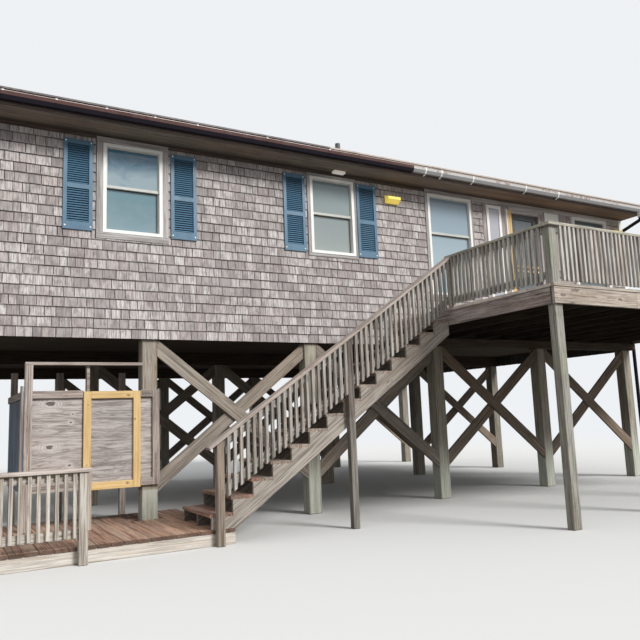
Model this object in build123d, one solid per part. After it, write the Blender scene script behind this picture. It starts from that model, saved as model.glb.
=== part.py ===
from build123d import *
import math
import os

os.makedirs("parts", exist_ok=True)

# Raised beach house on timber piles, in millimetres.
# X runs along the front wall, Y runs from the front wall into the house, Z is up from the ground.
# The solids are drawn with X = 0 at the middle of the house and Y = 0 on the front wall's outer face.
# They are shifted along Y when written, so that the origin is the middle of the footprint.

# Timber stock
board_t = 38
post_w = 89
rail_h = 89
wide_post_w = 128
wide_post_depth = 112
cap_w = 140
baluster_w = 38
plywood_t = 12
seat_gap = 0.3

# Piles, girders and floor
bays = 5
bay = 2438
pile_w = 203
pile_top = 2505
end_overhang = 100
house_depth = 7900
girder_w = 150
girder_h = 235
platform_t = 255
brace_h = 232
brace_high_z = 2395
brace_low_z = 615

# Walls and roof
skin_t = 35
stud_wall_t = 105
eave_reach = 450
eave_bottom = 5235
soffit_t = 13
roof_t = 172
roof_slope = 1 / 3
fascia_t = 22
rake_t = 38
rake_h = 190
cut_past = 10

# Deck, railings and stair
deck_edge_inset = 945
deck_reach = 3352
deck_top = 2880
deck_board_t = 38
deck_nose = 12
joist_h = 208
joist_count = 9
bearer_t = 75
deck_bays = 3
deck_rail_height = 761
rim_short = 30
baluster_pitch = 80.5
baluster_foot = 40
lower_rail_foot = 75
treads = 14
going = 258.5
first_tread_top = 350
tread_t = 38
tread_nose = 21.5
stair_width = 1012
stair_near_y = -1402
stringer_throat = 168
newel_rail_height = 777
stair_lower_rail_drop = 628
stair_baluster_drop = 665
newel_behind_nose = 63
mid_post_tread = 8
mid_post_behind_nose = 40
stair_cap_overhang = 92

# Boardwalk and its railing
walk_top = 175
walk_board_t = 38
walk_back_y = 850
walk_past_stair = 30
walk_fascia_inset = 12
walk_rail_height = 790
walk_post_before_p1 = 1045
walk_baluster_foot = 103
walk_rail_foot = 91
walk_baluster_pitch = 84
walk_cap_past_post = 25
end_upright_foot = 155
end_upright_past_post = 45

# Shower stall
panel_low = 617
panel_high = 1838
shower_left = 1526
shower_back = 1889
shower_top = 2193
door_left = 842
door_right = 132
door_low = 604
door_high = 1826
door_gap = 8
stile_w = 92
panel_right = 115
stall_mid_post = 800
stall_mid_behind = 5
stall_rear_mid = 902
side_board_low = 1748
side_board_t = 19
side_stud_w = 30
side_stud_low = 560
side_stud_high = 1900
right_sheet_behind = 20
hinge_barrel_r = 4
hinge_standoff = 6
hinge_leaf_t = 2
hinge_leaf_w = 34
hinge_h = 80

# Windows and entry, each placed along the front from the pile nearest to it
wide_casing_w = 84
narrow_casing_w = 50
casing_t = 22
frame_w = 45
frame_proud = 28
frame_depth = 120
sash_w = 15
meeting_h = 36
sash_t = 32
pane_t = 6
small_window_w = 800
small_window_low = 3908
small_window_high = 5140
small_meeting = 4530
big_window_w = 978
big_window_low = 3381
big_window_high = 5160
big_meeting = 4450
first_window_from_pile = -232
second_window_from_pile = 460
deck_window_from_pile = 419
end_window_from_pile = -814
back_window_xs = (-4600, -1600, 1600, 4600)
side_window_xs = (-1900, 1900)
sidelight_from_pile = -979
sidelight_w = 354
sidelight_low = 3150
sidelight_high = 5127
sidelight_bar = 55
sidelight_recess = 14
entry_from_pile = -189
door_w = 696
door_h = 2047
door_stile = 105
door_foot_rail = 240
door_mid_rail_foot = 930
door_mid_rail = 120
door_leaf_t = 44
door_leaf_y0 = 20
jamb_w = 60

# Shutters: four beside the first two windows, each placed from the pile nearest to it
shutters_from_second_pile = (-948, 470)
shutters_from_third_pile = (-219, 1100)
shutter_w = 370
shutter_low = 3907
shutter_high = 5126
shutter_t = 30
shutter_stile = 48
shutter_rail = 62
shutter_foot_rail = 105
shutter_mid_share = 0.48
louvre_pitch = 30
louvre_t = 5
louvre_depth = 24
louvre_tilt = 32

# Rainwater goods
gutter_above_eave = 135
gutter_w = 85
gutter_h = 95
gutter_t = 4
gutter_foot_share = 0.3
gutter_waist_share = 0.5
gutter_split_x = 490
gutter_past_end = 60
pipe_r = 34
pipe_standoff = 25
pipe_wall_y = 60
outlet_inset = 66
outlet_drop = 150
pipe_wall_drop = 250
pipe_foot = 120
pipe_bend = 60
strap_h = 25
strap_w = 30
strap_zs = (3000, 3900, 4800)

# Small fittings on the walls and the roof
vent_r = 48
vent_top = 6500
vent_before_pile = 900
vent_y = 1500
corner_board_w = 95
corner_board_t = 20
wall_light_w = 250
wall_light_h = 140
wall_light_reach = 120
wall_light_z = 4940
hood_foot_share = 0.4
hood_lip_low_share = 0.1
hood_lip_high_share = 0.2
first_light_from_pile = -831
end_light_from_pile = -30
soffit_light_from_pile = 530
soffit_light_w = 200
soffit_light_d = 80
soffit_light_h = 35
soffit_light_y = -135
sign_from_pile = -1892
sign_w = 380
sign_t = 15
sign_low = 4830
sign_high = 5150

# Sizes worked out from the ones above
half_len = bays * bay / 2 + pile_w / 2 + end_overhang
pile_x = [(i - bays / 2) * bay for i in range(bays + 1)]
floor_low = pile_top + girder_h
floor_top = floor_low + platform_t
wall_t = skin_t + stud_wall_t
eave_top_face = eave_bottom + soffit_t
gutter_top = eave_bottom + gutter_above_eave
under_at_wall = eave_top_face + eave_reach * roof_slope
ridge_y = house_depth / 2
deck_left = pile_x[3] - deck_edge_inset
deck_right = half_len
deck_joist_top = deck_top - deck_board_t
deck_joist_low = deck_joist_top - joist_h
rise = (deck_top - first_tread_top) / treads
stair_far_y = stair_near_y + stair_width
stair_slope = rise / going
tread_depth = going + tread_nose
walk_right = deck_left - (treads - 1) * going + walk_past_stair
walk_left = pile_x[0] + pile_w / 2
rail_line_y = stair_near_y - post_w


def block(x0, x1, y0, y1, z0, z1):
    """Box between two corners."""
    centre = ((x0 + x1) / 2, (y0 + y1) / 2, (z0 + z1) / 2)
    return Pos(*centre) * Box(x1 - x0, y1 - y0, z1 - z0)


def prism_x(points, x0, x1):
    """Outline of (y, z) points, pushed from x0 to x1."""
    face = make_face(Polyline([(0, y, z) for y, z in points], close=True))
    return Pos(x0, 0, 0) * extrude(face, amount=x1 - x0, dir=(1, 0, 0))


def prism_y(points, y0, y1):
    """Outline of (x, z) points, pushed from y0 to y1."""
    face = make_face(Polyline([(x, 0, z) for x, z in points], close=True))
    return Pos(0, y0, 0) * extrude(face, amount=y1 - y0, dir=(0, 1, 0))


def ring_y(x0, x1, y0, y1, z0, z1, bar):
    """Four-sided frame in the XZ plane."""
    outer = block(x0, x1, y0, y1, z0, z1)
    inner = block(x0 + bar, x1 - bar, y0 - 1, y1 + 1, z0 + bar, z1 - bar)
    return outer - inner


def fuse(shapes):
    """Union of a list of touching solids."""
    return shapes[0].fuse(*shapes[1:])


def roof_under(y):
    """Height of the roof's underside above a depth y."""
    from_eave = min(y, house_depth - y)
    return under_at_wall + from_eave * roof_slope


# Piles, girders, braces and floor
row_y = {
    "front": skin_t + pile_w / 2,
    "middle": house_depth / 2,
    "back": house_depth - skin_t - pile_w / 2,
}


def pile_row(y):
    """One row of square timber piles."""
    half = pile_w / 2
    return [block(x - half, x + half, y - half, y + half, 0, pile_top) for x in pile_x]


def girder(y0):
    """Built-up timber girder lying on a row of piles."""
    reach = half_len - skin_t
    return block(-reach, reach, y0, y0 + girder_w, pile_top, floor_low)


girder_y0 = {
    "front": skin_t,
    "middle": house_depth / 2 - girder_w / 2,
    "back": house_depth - skin_t - girder_w,
}


def brace(bay_index, y0, rising):
    """Diagonal board between two piles, its ends cut to the pile faces and the girder."""
    x0 = pile_x[bay_index] + pile_w / 2
    x1 = pile_x[bay_index + 1] - pile_w / 2
    z0, z1 = (brace_low_z, brace_high_z) if rising else (brace_high_z, brace_low_z)
    half = brace_h / 2
    points = [(x0, z0 - half), (x1, z1 - half), (x1, z1 + half), (x0, z0 + half)]
    board = prism_y(points, y0, y0 + board_t)
    return board & block(x0, x1, y0, y0 + board_t, 0, pile_top)


def braces(row, rising):
    """Diagonals of one direction in a row of piles, all but the shower's bay."""
    y0 = row_y[row] - pile_w / 2 + (board_t if rising else 0)
    return [brace(i, y0, rising) for i in range(1, bays)]


floor_reach_x = half_len - skin_t
floor_platform = block(
    -floor_reach_x, floor_reach_x, skin_t, house_depth - skin_t, floor_low, floor_top
)

# Walls
small_window = (small_window_w, small_window_low, small_window_high, small_meeting)
big_window = (big_window_w, big_window_low, big_window_high, big_meeting)
window_specs = {
    "front": [
        (pile_x[1] + first_window_from_pile, *small_window, wide_casing_w),
        (pile_x[2] + second_window_from_pile, *small_window, narrow_casing_w),
        (pile_x[3] + deck_window_from_pile, *big_window, narrow_casing_w),
        (pile_x[5] + end_window_from_pile, *big_window, narrow_casing_w),
    ],
    "back": [(x, *small_window, wide_casing_w) for x in back_window_xs],
    "side": [(x, *small_window, wide_casing_w) for x in side_window_xs],
}
sidelight_x = pile_x[4] + sidelight_from_pile
entry_x = pile_x[4] + entry_from_pile

wall_places = {
    "front": Pos(0, 0, 0),
    "back": Pos(0, house_depth, 0) * Rot(0, 0, 180),
    "left": Pos(-half_len, house_depth / 2, 0) * Rot(0, 0, -90),
    "right": Pos(half_len, house_depth / 2, 0) * Rot(0, 0, 90),
}


def specs_for(side):
    """Windows of one wall, along the wall from its middle."""
    return window_specs[side] if side in window_specs else window_specs["side"]


def wall_hole(x, width, low, high):
    """Cutter that runs past both faces of the front wall, centred on x."""
    return block(x - width / 2, x + width / 2, -cut_past, wall_t + cut_past, low, high)


def window_holes(side):
    """Cutters for the windows of one wall."""
    place = wall_places[side]
    return [place * wall_hole(x, width, low, high) for x, width, low, high, _, _ in specs_for(side)]


def long_wall(side):
    """Front or back wall with its skirt and bevelled top."""
    points = [
        (0, pile_top),
        (skin_t, pile_top),
        (skin_t, floor_top),
        (wall_t, floor_top),
        (wall_t, roof_under(wall_t)),
        (0, roof_under(0)),
    ]
    wall = prism_x(points, -half_len, half_len)
    if side == "back":
        wall = wall_places["back"] * wall
    for hole in window_holes(side):
        wall = wall - hole
    return wall


def gable_wall(side):
    """End wall between the long walls, with its gable up to the ridge."""
    low_y, high_y = wall_t, house_depth - wall_t
    points = [
        (low_y, floor_top),
        (high_y, floor_top),
        (high_y, roof_under(high_y)),
        (ridge_y, roof_under(ridge_y)),
        (low_y, roof_under(low_y)),
    ]
    sign = -1 if side == "left" else 1
    outer = sign * half_len
    inner = sign * (half_len - wall_t)
    skin_in = sign * (half_len - skin_t)
    wall = prism_x(points, min(outer, inner), max(outer, inner))
    skirt = block(
        min(outer, skin_in), max(outer, skin_in), skin_t, house_depth - skin_t, pile_top, floor_top
    )
    wall = wall + skirt
    for hole in window_holes(side):
        wall = wall - hole
    return wall


front_wall = long_wall("front")
front_wall = front_wall - block(deck_left, half_len, -1, skin_t, pile_top - 1, deck_top)
front_wall = front_wall - wall_hole(entry_x, door_w + 2 * jamb_w, floor_top, floor_top + door_h + jamb_w)
front_wall = front_wall - wall_hole(sidelight_x, sidelight_w, sidelight_low, sidelight_high)

# Roof, eaves and rainwater goods
def roof_slab(side):
    """One slope of the roof from the eave's plumb cut to the ridge."""
    points = [
        (-eave_reach, eave_top_face),
        (ridge_y, roof_under(ridge_y)),
        (ridge_y, roof_under(ridge_y) + roof_t),
        (-eave_reach, eave_top_face + roof_t),
    ]
    slab = prism_x(points, -half_len, half_len)
    return slab if side == "front" else wall_places["back"] * slab


def eave_board(side, y0, y1, z0, z1):
    """Board along one eave."""
    board = block(-half_len, half_len, y0, y1, z0, z1)
    return board if side == "front" else wall_places["back"] * board


def rake_board(side):
    """Pair of verge boards meeting at the ridge on one gable."""
    x0 = half_len if side == "right" else -half_len - rake_t
    low = roof_t - rake_h
    front_edge = -eave_reach - fascia_t
    drop = fascia_t * roof_slope
    points = [
        (front_edge, eave_top_face - drop + low),
        (ridge_y, roof_under(ridge_y) + low),
        (house_depth - front_edge, eave_top_face - drop + low),
        (house_depth - front_edge, eave_top_face - drop + roof_t),
        (ridge_y, roof_under(ridge_y) + roof_t),
        (front_edge, eave_top_face - drop + roof_t),
    ]
    return prism_x(points, x0, x0 + rake_t)


gutter_back_y = -eave_reach - fascia_t


def gutter(x0, x1, side):
    """Open trough with closed ends along the fascia."""
    y0, y1 = gutter_back_y - gutter_w, gutter_back_y
    z0, z1 = gutter_top - gutter_h, gutter_top
    foot_y = y0 + gutter_w * gutter_foot_share
    waist_z = z0 + gutter_h * gutter_waist_share
    outer = [(y1, z1), (y1, z0), (foot_y, z0), (y0, waist_z), (y0, z1)]
    t = gutter_t
    inner = [
        (y1 - t, z1 + 1),
        (y1 - t, z0 + t),
        (foot_y + t / 2, z0 + t),
        (y0 + t, waist_z + t / 3),
        (y0 + t, z1 + 1),
    ]
    trough = prism_x(outer, x0, x1) - prism_x(inner, x0 + t, x1 - t)
    return trough if side == "front" else wall_places["back"] * trough


pipe_x = half_len + corner_board_t + pipe_standoff + pipe_r


def downspout():
    """Round pipe from the gutter's outlet back to the wall's corner and down, with its wall straps."""
    outlet_x, outlet_y = half_len - outlet_inset, gutter_back_y - gutter_w / 2
    outlet_z = gutter_top - gutter_h
    points = [
        (outlet_x, outlet_y, outlet_z),
        (outlet_x, outlet_y, outlet_z - outlet_drop),
        (pipe_x, pipe_wall_y, outlet_z - pipe_wall_drop),
        (pipe_x, pipe_wall_y, pipe_foot),
    ]
    path = FilletPolyline(points, radius=pipe_bend)
    profile = Plane(origin=path @ 0, z_dir=path % 0) * Circle(pipe_r)
    pipe = sweep(profile, path=path)
    for z in strap_zs:
        strap = block(
            half_len + corner_board_t + seat_gap,
            pipe_x,
            pipe_wall_y - strap_w / 2,
            pipe_wall_y + strap_w / 2,
            z,
            z + strap_h,
        )
        pipe = pipe + strap
    return pipe


def vent_pipe():
    """Short plumbing vent standing on the front slope of the roof."""
    low = roof_under(vent_y) + roof_t - vent_r
    upright = (Align.CENTER, Align.CENTER, Align.MIN)
    pipe = Pos(pile_x[3] - vent_before_pile, vent_y, low) * Cylinder(vent_r, vent_top - low, align=upright)
    return pipe - roof_slab("front")


# Windows
def window_set(side):
    """Casing, frame, sashes and panes of each window in one wall."""
    casings, frames, uppers, lowers, panes = [], [], [], [], []
    place = wall_places[side]
    for x, width, low, high, meet, c in specs_for(side):
        x0, x1 = x - width / 2, x + width / 2
        casing = block(x0 - c, x1 + c, -casing_t, 0, low - c, high + c)
        casing = casing - block(x0, x1, -casing_t - 1, 1, low, high)
        casings.append(place * casing)
        frames.append(place * ring_y(x0, x1, -frame_proud, frame_depth - frame_proud, low, high, frame_w))
        out0, out1 = x0 + frame_w, x1 - frame_w
        in0, in1 = out0 + sash_w, out1 - sash_w
        spans = (
            (uppers, 0, meet, high - frame_w, meeting_h, sash_w),
            (lowers, sash_t, low + frame_w, meet + meeting_h, sash_w, meeting_h),
        )
        for sashes, y0, z0, z1, foot, head in spans:
            sash = block(out0, out1, y0, y0 + sash_t, z0, z1)
            sash = sash - block(in0, in1, y0 - 1, y0 + sash_t + 1, z0 + foot, z1 - head)
            sashes.append(place * sash)
            pane_y0 = y0 + (sash_t - pane_t) / 2
            panes.append(place * block(in0, in1, pane_y0, pane_y0 + pane_t, z0 + foot, z1 - head))
    return casings, frames, uppers, lowers, panes


casings, frames, uppers, lowers, panes = [], [], [], [], []
for side in ("front", "back", "left", "right"):
    found = window_set(side)
    casings += found[0]
    frames += found[1]
    uppers += found[2]
    lowers += found[3]
    panes += found[4]


def shutter(x):
    """Louvred shutter: two stiles, three rails and two banks of tilted slats."""
    x0, x1 = x - shutter_w / 2, x + shutter_w / 2
    y0, y1 = -shutter_t, 0
    mid = shutter_low + (shutter_high - shutter_low) * shutter_mid_share
    pieces = [
        block(x0, x0 + shutter_stile, y0, y1, shutter_low, shutter_high),
        block(x1 - shutter_stile, x1, y0, y1, shutter_low, shutter_high),
    ]
    rails = [
        (shutter_low, shutter_low + shutter_foot_rail),
        (mid - shutter_rail / 2, mid + shutter_rail / 2),
        (shutter_high - shutter_rail, shutter_high),
    ]
    in0, in1 = x0 + shutter_stile, x1 - shutter_stile
    for z0, z1 in rails:
        pieces.append(block(in0, in1, y0, y1, z0, z1))
    for z0, z1 in ((rails[0][1], rails[1][0]), (rails[1][1], rails[2][0])):
        count = int((z1 - z0) / louvre_pitch)
        pitch = (z1 - z0) / count
        for i in range(count):
            slat = Rot(-louvre_tilt, 0, 0) * Box(in1 - in0, louvre_t, louvre_depth)
            pieces.append(Pos(x, (y0 + y1) / 2, z0 + (i + 0.5) * pitch) * slat)
    return fuse(pieces)


# Deck
def deck_post_xs():
    """Left sides of the deck's front posts."""
    first = deck_left + board_t
    last = deck_right - board_t - wide_post_w
    return [first + i * (last - first) / deck_bays for i in range(deck_bays + 1)]


post_front_y = -deck_reach + board_t
post_back_y = post_front_y + wide_post_depth
cap_low = deck_top + deck_rail_height - board_t


def deck_post(x0):
    """Front post running from the ground up to the rail's cap."""
    return block(x0, x0 + wide_post_w, post_front_y, post_back_y, 0, cap_low)


def notch_posts(shape):
    """Cut the front posts out of a deck board."""
    for x0 in deck_post_xs():
        shape = shape - deck_post(x0)
    return shape


deck_inner_x0 = deck_left + board_t
deck_inner_x1 = deck_right - board_t
ledger_y0 = skin_t - board_t


def deck_joists():
    """Floor joists from the ledger to the front rim, between the side rims."""
    step = (deck_inner_x1 - deck_inner_x0) / (joist_count + 1)
    joists = []
    for i in range(1, joist_count + 1):
        x = deck_inner_x0 + i * step
        x0, x1 = x - board_t / 2, x + board_t / 2
        joists.append(notch_posts(block(x0, x1, post_front_y, ledger_y0, deck_joist_low, deck_joist_top)))
    return joists


deck_floor = block(
    deck_left - deck_nose, deck_right + deck_nose, -deck_reach - deck_nose, 0, deck_joist_top, deck_top
)
deck_floor = notch_posts(deck_floor)

head_post_x0 = deck_left + board_t
head_post = block(head_post_x0, head_post_x0 + post_w, rail_line_y, stair_near_y, deck_top, cap_low)
right_wall_post = block(
    deck_inner_x1 - post_w, deck_inner_x1, -casing_t - post_w, -casing_t, deck_top, cap_low
)


def flat_rail(start, end, foot, cap_z, pitch, baluster_low, along_x, outside):
    """Straight railing panel: two rails, and balusters on the outer face.

    start and end run along the panel, outside is the coordinate of the rails' outer face,
    and the balusters stand on the side that the sign of the thickness gives.
    """
    line, sign = outside
    rails = [(foot, foot + rail_h), (cap_z - rail_h, cap_z)]
    near, far = sorted((line, line - sign * board_t))
    out0, out1 = sorted((line, line + sign * baluster_w))
    pieces = []
    for z0, z1 in rails:
        if along_x:
            pieces.append(block(start, end, near, far, z0, z1))
        else:
            pieces.append(block(near, far, start, end, z0, z1))
    count = round((end - start) / pitch)
    step = (end - start) / count
    half = baluster_w / 2
    for i in range(count):
        c = start + (i + 0.5) * step
        if along_x:
            pieces.append(block(c - half, c + half, out0, out1, baluster_low, cap_z))
        else:
            pieces.append(block(out0, out1, c - half, c + half, baluster_low, cap_z))
    return fuse(pieces)


def deck_front_rails():
    """Railing panels between the front posts."""
    xs = deck_post_xs()
    panels = []
    for i in range(deck_bays):
        panels.append(
            flat_rail(
                xs[i] + wide_post_w,
                xs[i + 1],
                deck_top + lower_rail_foot,
                cap_low,
                baluster_pitch,
                deck_top + baluster_foot,
                True,
                (post_front_y, -1),
            )
        )
    return panels


deck_left_rail = flat_rail(
    post_back_y,
    rail_line_y,
    deck_top + lower_rail_foot,
    cap_low,
    baluster_pitch,
    deck_top + baluster_foot,
    False,
    (deck_inner_x0, -1),
)
deck_right_rail = flat_rail(
    post_back_y,
    -casing_t - post_w,
    deck_top + lower_rail_foot,
    cap_low,
    baluster_pitch,
    deck_top + baluster_foot,
    False,
    (deck_inner_x1, 1),
)

cap_top = cap_low + board_t
cap_out = (cap_w - post_w) / 2 + baluster_w / 2
cap_y0 = post_front_y - cap_out
cap_x0 = deck_inner_x0 - cap_out
cap_x1 = deck_inner_x1 + cap_out
deck_rail_cap = fuse([
    block(cap_x0, cap_x1, cap_y0, cap_y0 + cap_w, cap_low, cap_top),
    block(cap_x0, cap_x0 + cap_w, cap_y0, stair_near_y, cap_low, cap_top),
    block(cap_x1 - cap_w, cap_x1, cap_y0, -casing_t, cap_low, cap_top),
])


# Stair
def tread_back(i):
    """X of the back of tread i, counted from 1 at the foot."""
    return deck_left - (treads - i) * going


def tread_top(i):
    """Height of the top of tread i."""
    return first_tread_top + (i - 1) * rise


def stringer(y0):
    """Cut stringer: sawtooth top, straight lower edge, level foot on the boardwalk."""
    points = []
    for i in range(1, treads + 1):
        seat = tread_top(i) - tread_t
        points.append((tread_back(i) - going, seat))
        points.append((tread_back(i), seat))
    top_seat = points[-1][1]
    foot_x = tread_back(1) - (tread_top(1) - tread_t - stringer_throat - walk_top) / stair_slope
    points.append((deck_left, top_seat - stringer_throat))
    points.append((foot_x, walk_top))
    points.append((tread_back(1) - going, walk_top))
    return prism_y(points, y0, y0 + board_t)


stringer_ys = [
    stair_near_y,
    (stair_near_y + stair_far_y - board_t) / 2,
    stair_far_y - board_t,
]
stair_stringers = [stringer(y) for y in stringer_ys]
stair_treads = []
for i in range(1, treads + 1):
    x1, z1 = tread_back(i), tread_top(i)
    stair_treads.append(block(x1 - tread_depth, x1, stair_near_y, stair_far_y, z1 - tread_t, z1))


def nosing_z(x):
    """Height of the line through the tread noses at x."""
    return first_tread_top + (x - (tread_back(1) - tread_depth)) * stair_slope


newel_x0 = tread_back(1) - tread_depth + newel_behind_nose
newel_x1 = newel_x0 + post_w
newel_x = (newel_x0 + newel_x1) / 2
cap_rise = cap_low + board_t - nosing_z(newel_x) - newel_rail_height
cap_slope = cap_rise / (head_post_x0 - newel_x)
plumb_factor = 1 / math.cos(math.atan(cap_slope))
plumb_rail_h = rail_h * plumb_factor
plumb_cap_t = board_t * plumb_factor


def stair_cap_low(x):
    """Underside of the sloping handrail cap, which reaches the deck cap's underside at the head post."""
    return cap_low + (x - head_post_x0) * cap_slope


mid_x0 = tread_back(mid_post_tread) - tread_depth + mid_post_behind_nose
mid_x1 = mid_x0 + post_w


def stair_post(x0, x1):
    """Post beside the near stringer, its top cut to the slope of the cap."""
    points = [(x0, 0), (x1, 0), (x1, stair_cap_low(x1)), (x0, stair_cap_low(x0))]
    return prism_y(points, rail_line_y, stair_near_y)


def sloped_board(x0, x1, y0, y1, low_at, height):
    """Board following the stair's slope with plumb ends."""
    points = [(x0, low_at(x0)), (x1, low_at(x1)), (x1, low_at(x1) + height), (x0, low_at(x0) + height)]
    return prism_y(points, y0, y1)


def stair_rail(x0, x1, last_x):
    """Sloping railing panel between two posts, with plumb balusters outside up to last_x."""
    y0, y1 = rail_line_y, rail_line_y + board_t
    upper = sloped_board(x0, x1, y0, y1, lambda x: stair_cap_low(x) - plumb_rail_h, plumb_rail_h)
    lower = sloped_board(x0, x1, y0, y1, lambda x: stair_cap_low(x) - stair_lower_rail_drop, plumb_rail_h)
    pieces = [upper, lower]
    count = round((last_x - x0) / baluster_pitch)
    step = (last_x - x0) / count
    half = baluster_w / 2
    for i in range(count):
        c = x0 + (i + 0.5) * step
        a, b = c - half, c + half
        low_a, low_b = stair_cap_low(a) - stair_baluster_drop, stair_cap_low(b) - stair_baluster_drop
        points = [(a, low_a), (b, low_b), (b, stair_cap_low(b)), (a, stair_cap_low(a))]
        pieces.append(prism_y(points, y0 - baluster_w, y0))
    return fuse(pieces)


stair_cap_x0 = newel_x0 - stair_cap_overhang
stair_cap_x1 = cap_x0 - seat_gap
cap_angle = math.atan(cap_slope)
stair_cap = prism_y(
    [
        (stair_cap_x0, stair_cap_low(stair_cap_x0)),
        (stair_cap_x1, stair_cap_low(stair_cap_x1)),
        (stair_cap_x1, stair_cap_low(stair_cap_x1) + plumb_cap_t),
        (
            stair_cap_x0 - board_t * math.sin(cap_angle),
            stair_cap_low(stair_cap_x0) + board_t * math.cos(cap_angle),
        ),
    ],
    rail_line_y - cap_out,
    rail_line_y - cap_out + cap_w,
)

# Boardwalk
walk_front_y = stair_near_y
walk_low = walk_top - walk_board_t
p1 = pile_x[1]
walk_floor = block(walk_left, walk_right, walk_front_y, walk_back_y, walk_low, walk_top)
walk_floor = walk_floor - block(
    p1 - pile_w / 2, p1 + pile_w / 2, skin_t, skin_t + pile_w, walk_low - 1, walk_top + 1
)
walk_end_x1 = p1 - walk_post_before_p1
walk_end_x0 = walk_end_x1 - post_w
walk_cap_low = walk_top + walk_rail_height - board_t
walk_posts = [
    block(x0, x0 + post_w, rail_line_y, walk_front_y, 0, walk_cap_low)
    for x0 in (walk_left, walk_end_x0)
]
walk_rail = flat_rail(
    walk_left + post_w,
    walk_end_x0,
    walk_top + walk_rail_foot,
    walk_cap_low,
    walk_baluster_pitch,
    walk_top + walk_baluster_foot,
    True,
    (rail_line_y + board_t, -1),
)
walk_cap_y0 = rail_line_y - (cap_w - post_w) / 2
walk_cap = block(
    walk_left,
    walk_end_x1 + walk_cap_past_post,
    walk_cap_y0,
    walk_cap_y0 + cap_w,
    walk_cap_low,
    walk_cap_low + board_t,
)
walk_end_upright = block(
    walk_end_x1 + end_upright_past_post - post_w,
    walk_end_x1 + end_upright_past_post,
    walk_front_y,
    walk_front_y + baluster_w,
    walk_top + end_upright_foot,
    walk_cap_low,
)
walk_frame_y0 = walk_front_y + walk_fascia_inset
walk_frame = fuse([
    block(walk_left, walk_right, walk_frame_y0, walk_frame_y0 + board_t, 0, walk_low),
    block(walk_left, walk_right, walk_back_y - board_t, walk_back_y, 0, walk_low),
    block(walk_left, walk_left + board_t, walk_frame_y0, walk_back_y, 0, walk_low),
    block(walk_right - board_t, walk_right, walk_frame_y0, walk_back_y, 0, walk_low),
])

# Shower stall
frame_y0 = skin_t - plywood_t - board_t
ply_y0 = skin_t - plywood_t
stall_x0 = p1 - shower_left
stall_post_x1 = stall_x0 + post_w
door_x0 = p1 - door_left
door_x1 = p1 - door_right
fixed_x1 = door_x0 - door_gap
right_x0 = door_x1 + door_gap
right_x1 = p1 + panel_right


def framed_panel(x0, x1, z0, z1, side_bars):
    """Plywood sheet with flat boards round its outer face."""
    sheet = block(x0, x1, ply_y0, skin_t, z0, z1)
    bars = [
        block(x0, x1, frame_y0, ply_y0, z0, z0 + stile_w),
        block(x0, x1, frame_y0, ply_y0, z1 - stile_w, z1),
    ]
    if "left" in side_bars:
        bars.append(block(x0, x0 + stile_w, frame_y0, ply_y0, z0, z1))
    if "right" in side_bars:
        bars.append(block(x1 - stile_w, x1, frame_y0, ply_y0, z0, z1))
    return sheet, fuse(bars)


fixed_sheet, fixed_bars = framed_panel(stall_post_x1, fixed_x1, panel_low, panel_high, ())
right_sheet, right_bars = framed_panel(right_x0, right_x1, panel_low, panel_high, ("right",))
door_sheet, door_bars = framed_panel(door_x0, door_x1, door_low, door_high, ("left", "right"))

hinge_x = (door_x1 + right_x0) / 2
hinge_y = frame_y0 - hinge_standoff
hinge_zs = (panel_low + stile_w / 2, panel_high - stile_w / 2)


def hinge_half(moving):
    """Leaf against one side of the door's gap, with half of the barrel at its outer edge."""
    halves = []
    for z in hinge_zs:
        z0, z1 = (z + seat_gap, z + hinge_h / 2) if moving else (z - hinge_h / 2, z)
        barrel = Pos(hinge_x, hinge_y, (z0 + z1) / 2) * Cylinder(hinge_barrel_r, z1 - z0)
        if moving:
            leaf_x = (door_x1, door_x1 + hinge_leaf_t)
            tab_x = (door_x1, hinge_x)
        else:
            leaf_x = (right_x0 - hinge_leaf_t, right_x0)
            tab_x = (hinge_x, right_x0)
        leaf = block(*leaf_x, hinge_y, frame_y0 + hinge_leaf_w, z0, z1)
        tab = block(*tab_x, hinge_y - hinge_leaf_t / 2, hinge_y + hinge_leaf_t / 2, z0, z1)
        halves.append(fuse([barrel, leaf, tab]))
    return halves


stall_rear_y0 = shower_back - post_w
rear_post_xs = [stall_x0, p1 - stall_rear_mid, p1 + pile_w / 2 - post_w]
stall_posts = [
    block(stall_x0, stall_post_x1, frame_y0, frame_y0 + post_w, walk_top, shower_top - board_t)
]
for x0 in rear_post_xs:
    stall_posts.append(block(x0, x0 + post_w, stall_rear_y0, shower_back, 0, shower_top))
stall_mid_x0 = p1 - stall_mid_post
stall_mid_y0 = skin_t + stall_mid_behind
stall_mid = block(
    stall_mid_x0, stall_mid_x0 + board_t, stall_mid_y0, stall_mid_y0 + post_w, walk_top, shower_top - board_t
)
stall_top_rail = block(
    stall_x0, p1 - pile_w / 2, frame_y0, frame_y0 + post_w, shower_top - board_t, shower_top
)
stall_side_x0 = stall_x0 - plywood_t
stall_left_sheet = block(stall_side_x0, stall_x0, frame_y0, shower_back, panel_low, panel_high)
stall_side_stud = block(
    stall_side_x0 - side_stud_w, stall_side_x0, frame_y0, frame_y0 + post_w, side_stud_low, side_stud_high
)
stall_side_board = block(
    stall_side_x0 - side_board_t, stall_side_x0, frame_y0 + post_w, shower_back, side_board_low, panel_high
)
stall_rear_sheet = block(
    stall_x0, p1 + pile_w / 2, shower_back, shower_back + plywood_t, panel_low, panel_high
)
stall_right_x0 = p1 + pile_w / 2
stall_right_y0 = skin_t + 2 * board_t + right_sheet_behind
stall_right_sheet = block(
    stall_right_x0, stall_right_x0 + plywood_t, stall_right_y0, shower_back, panel_low, panel_high
)

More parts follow.
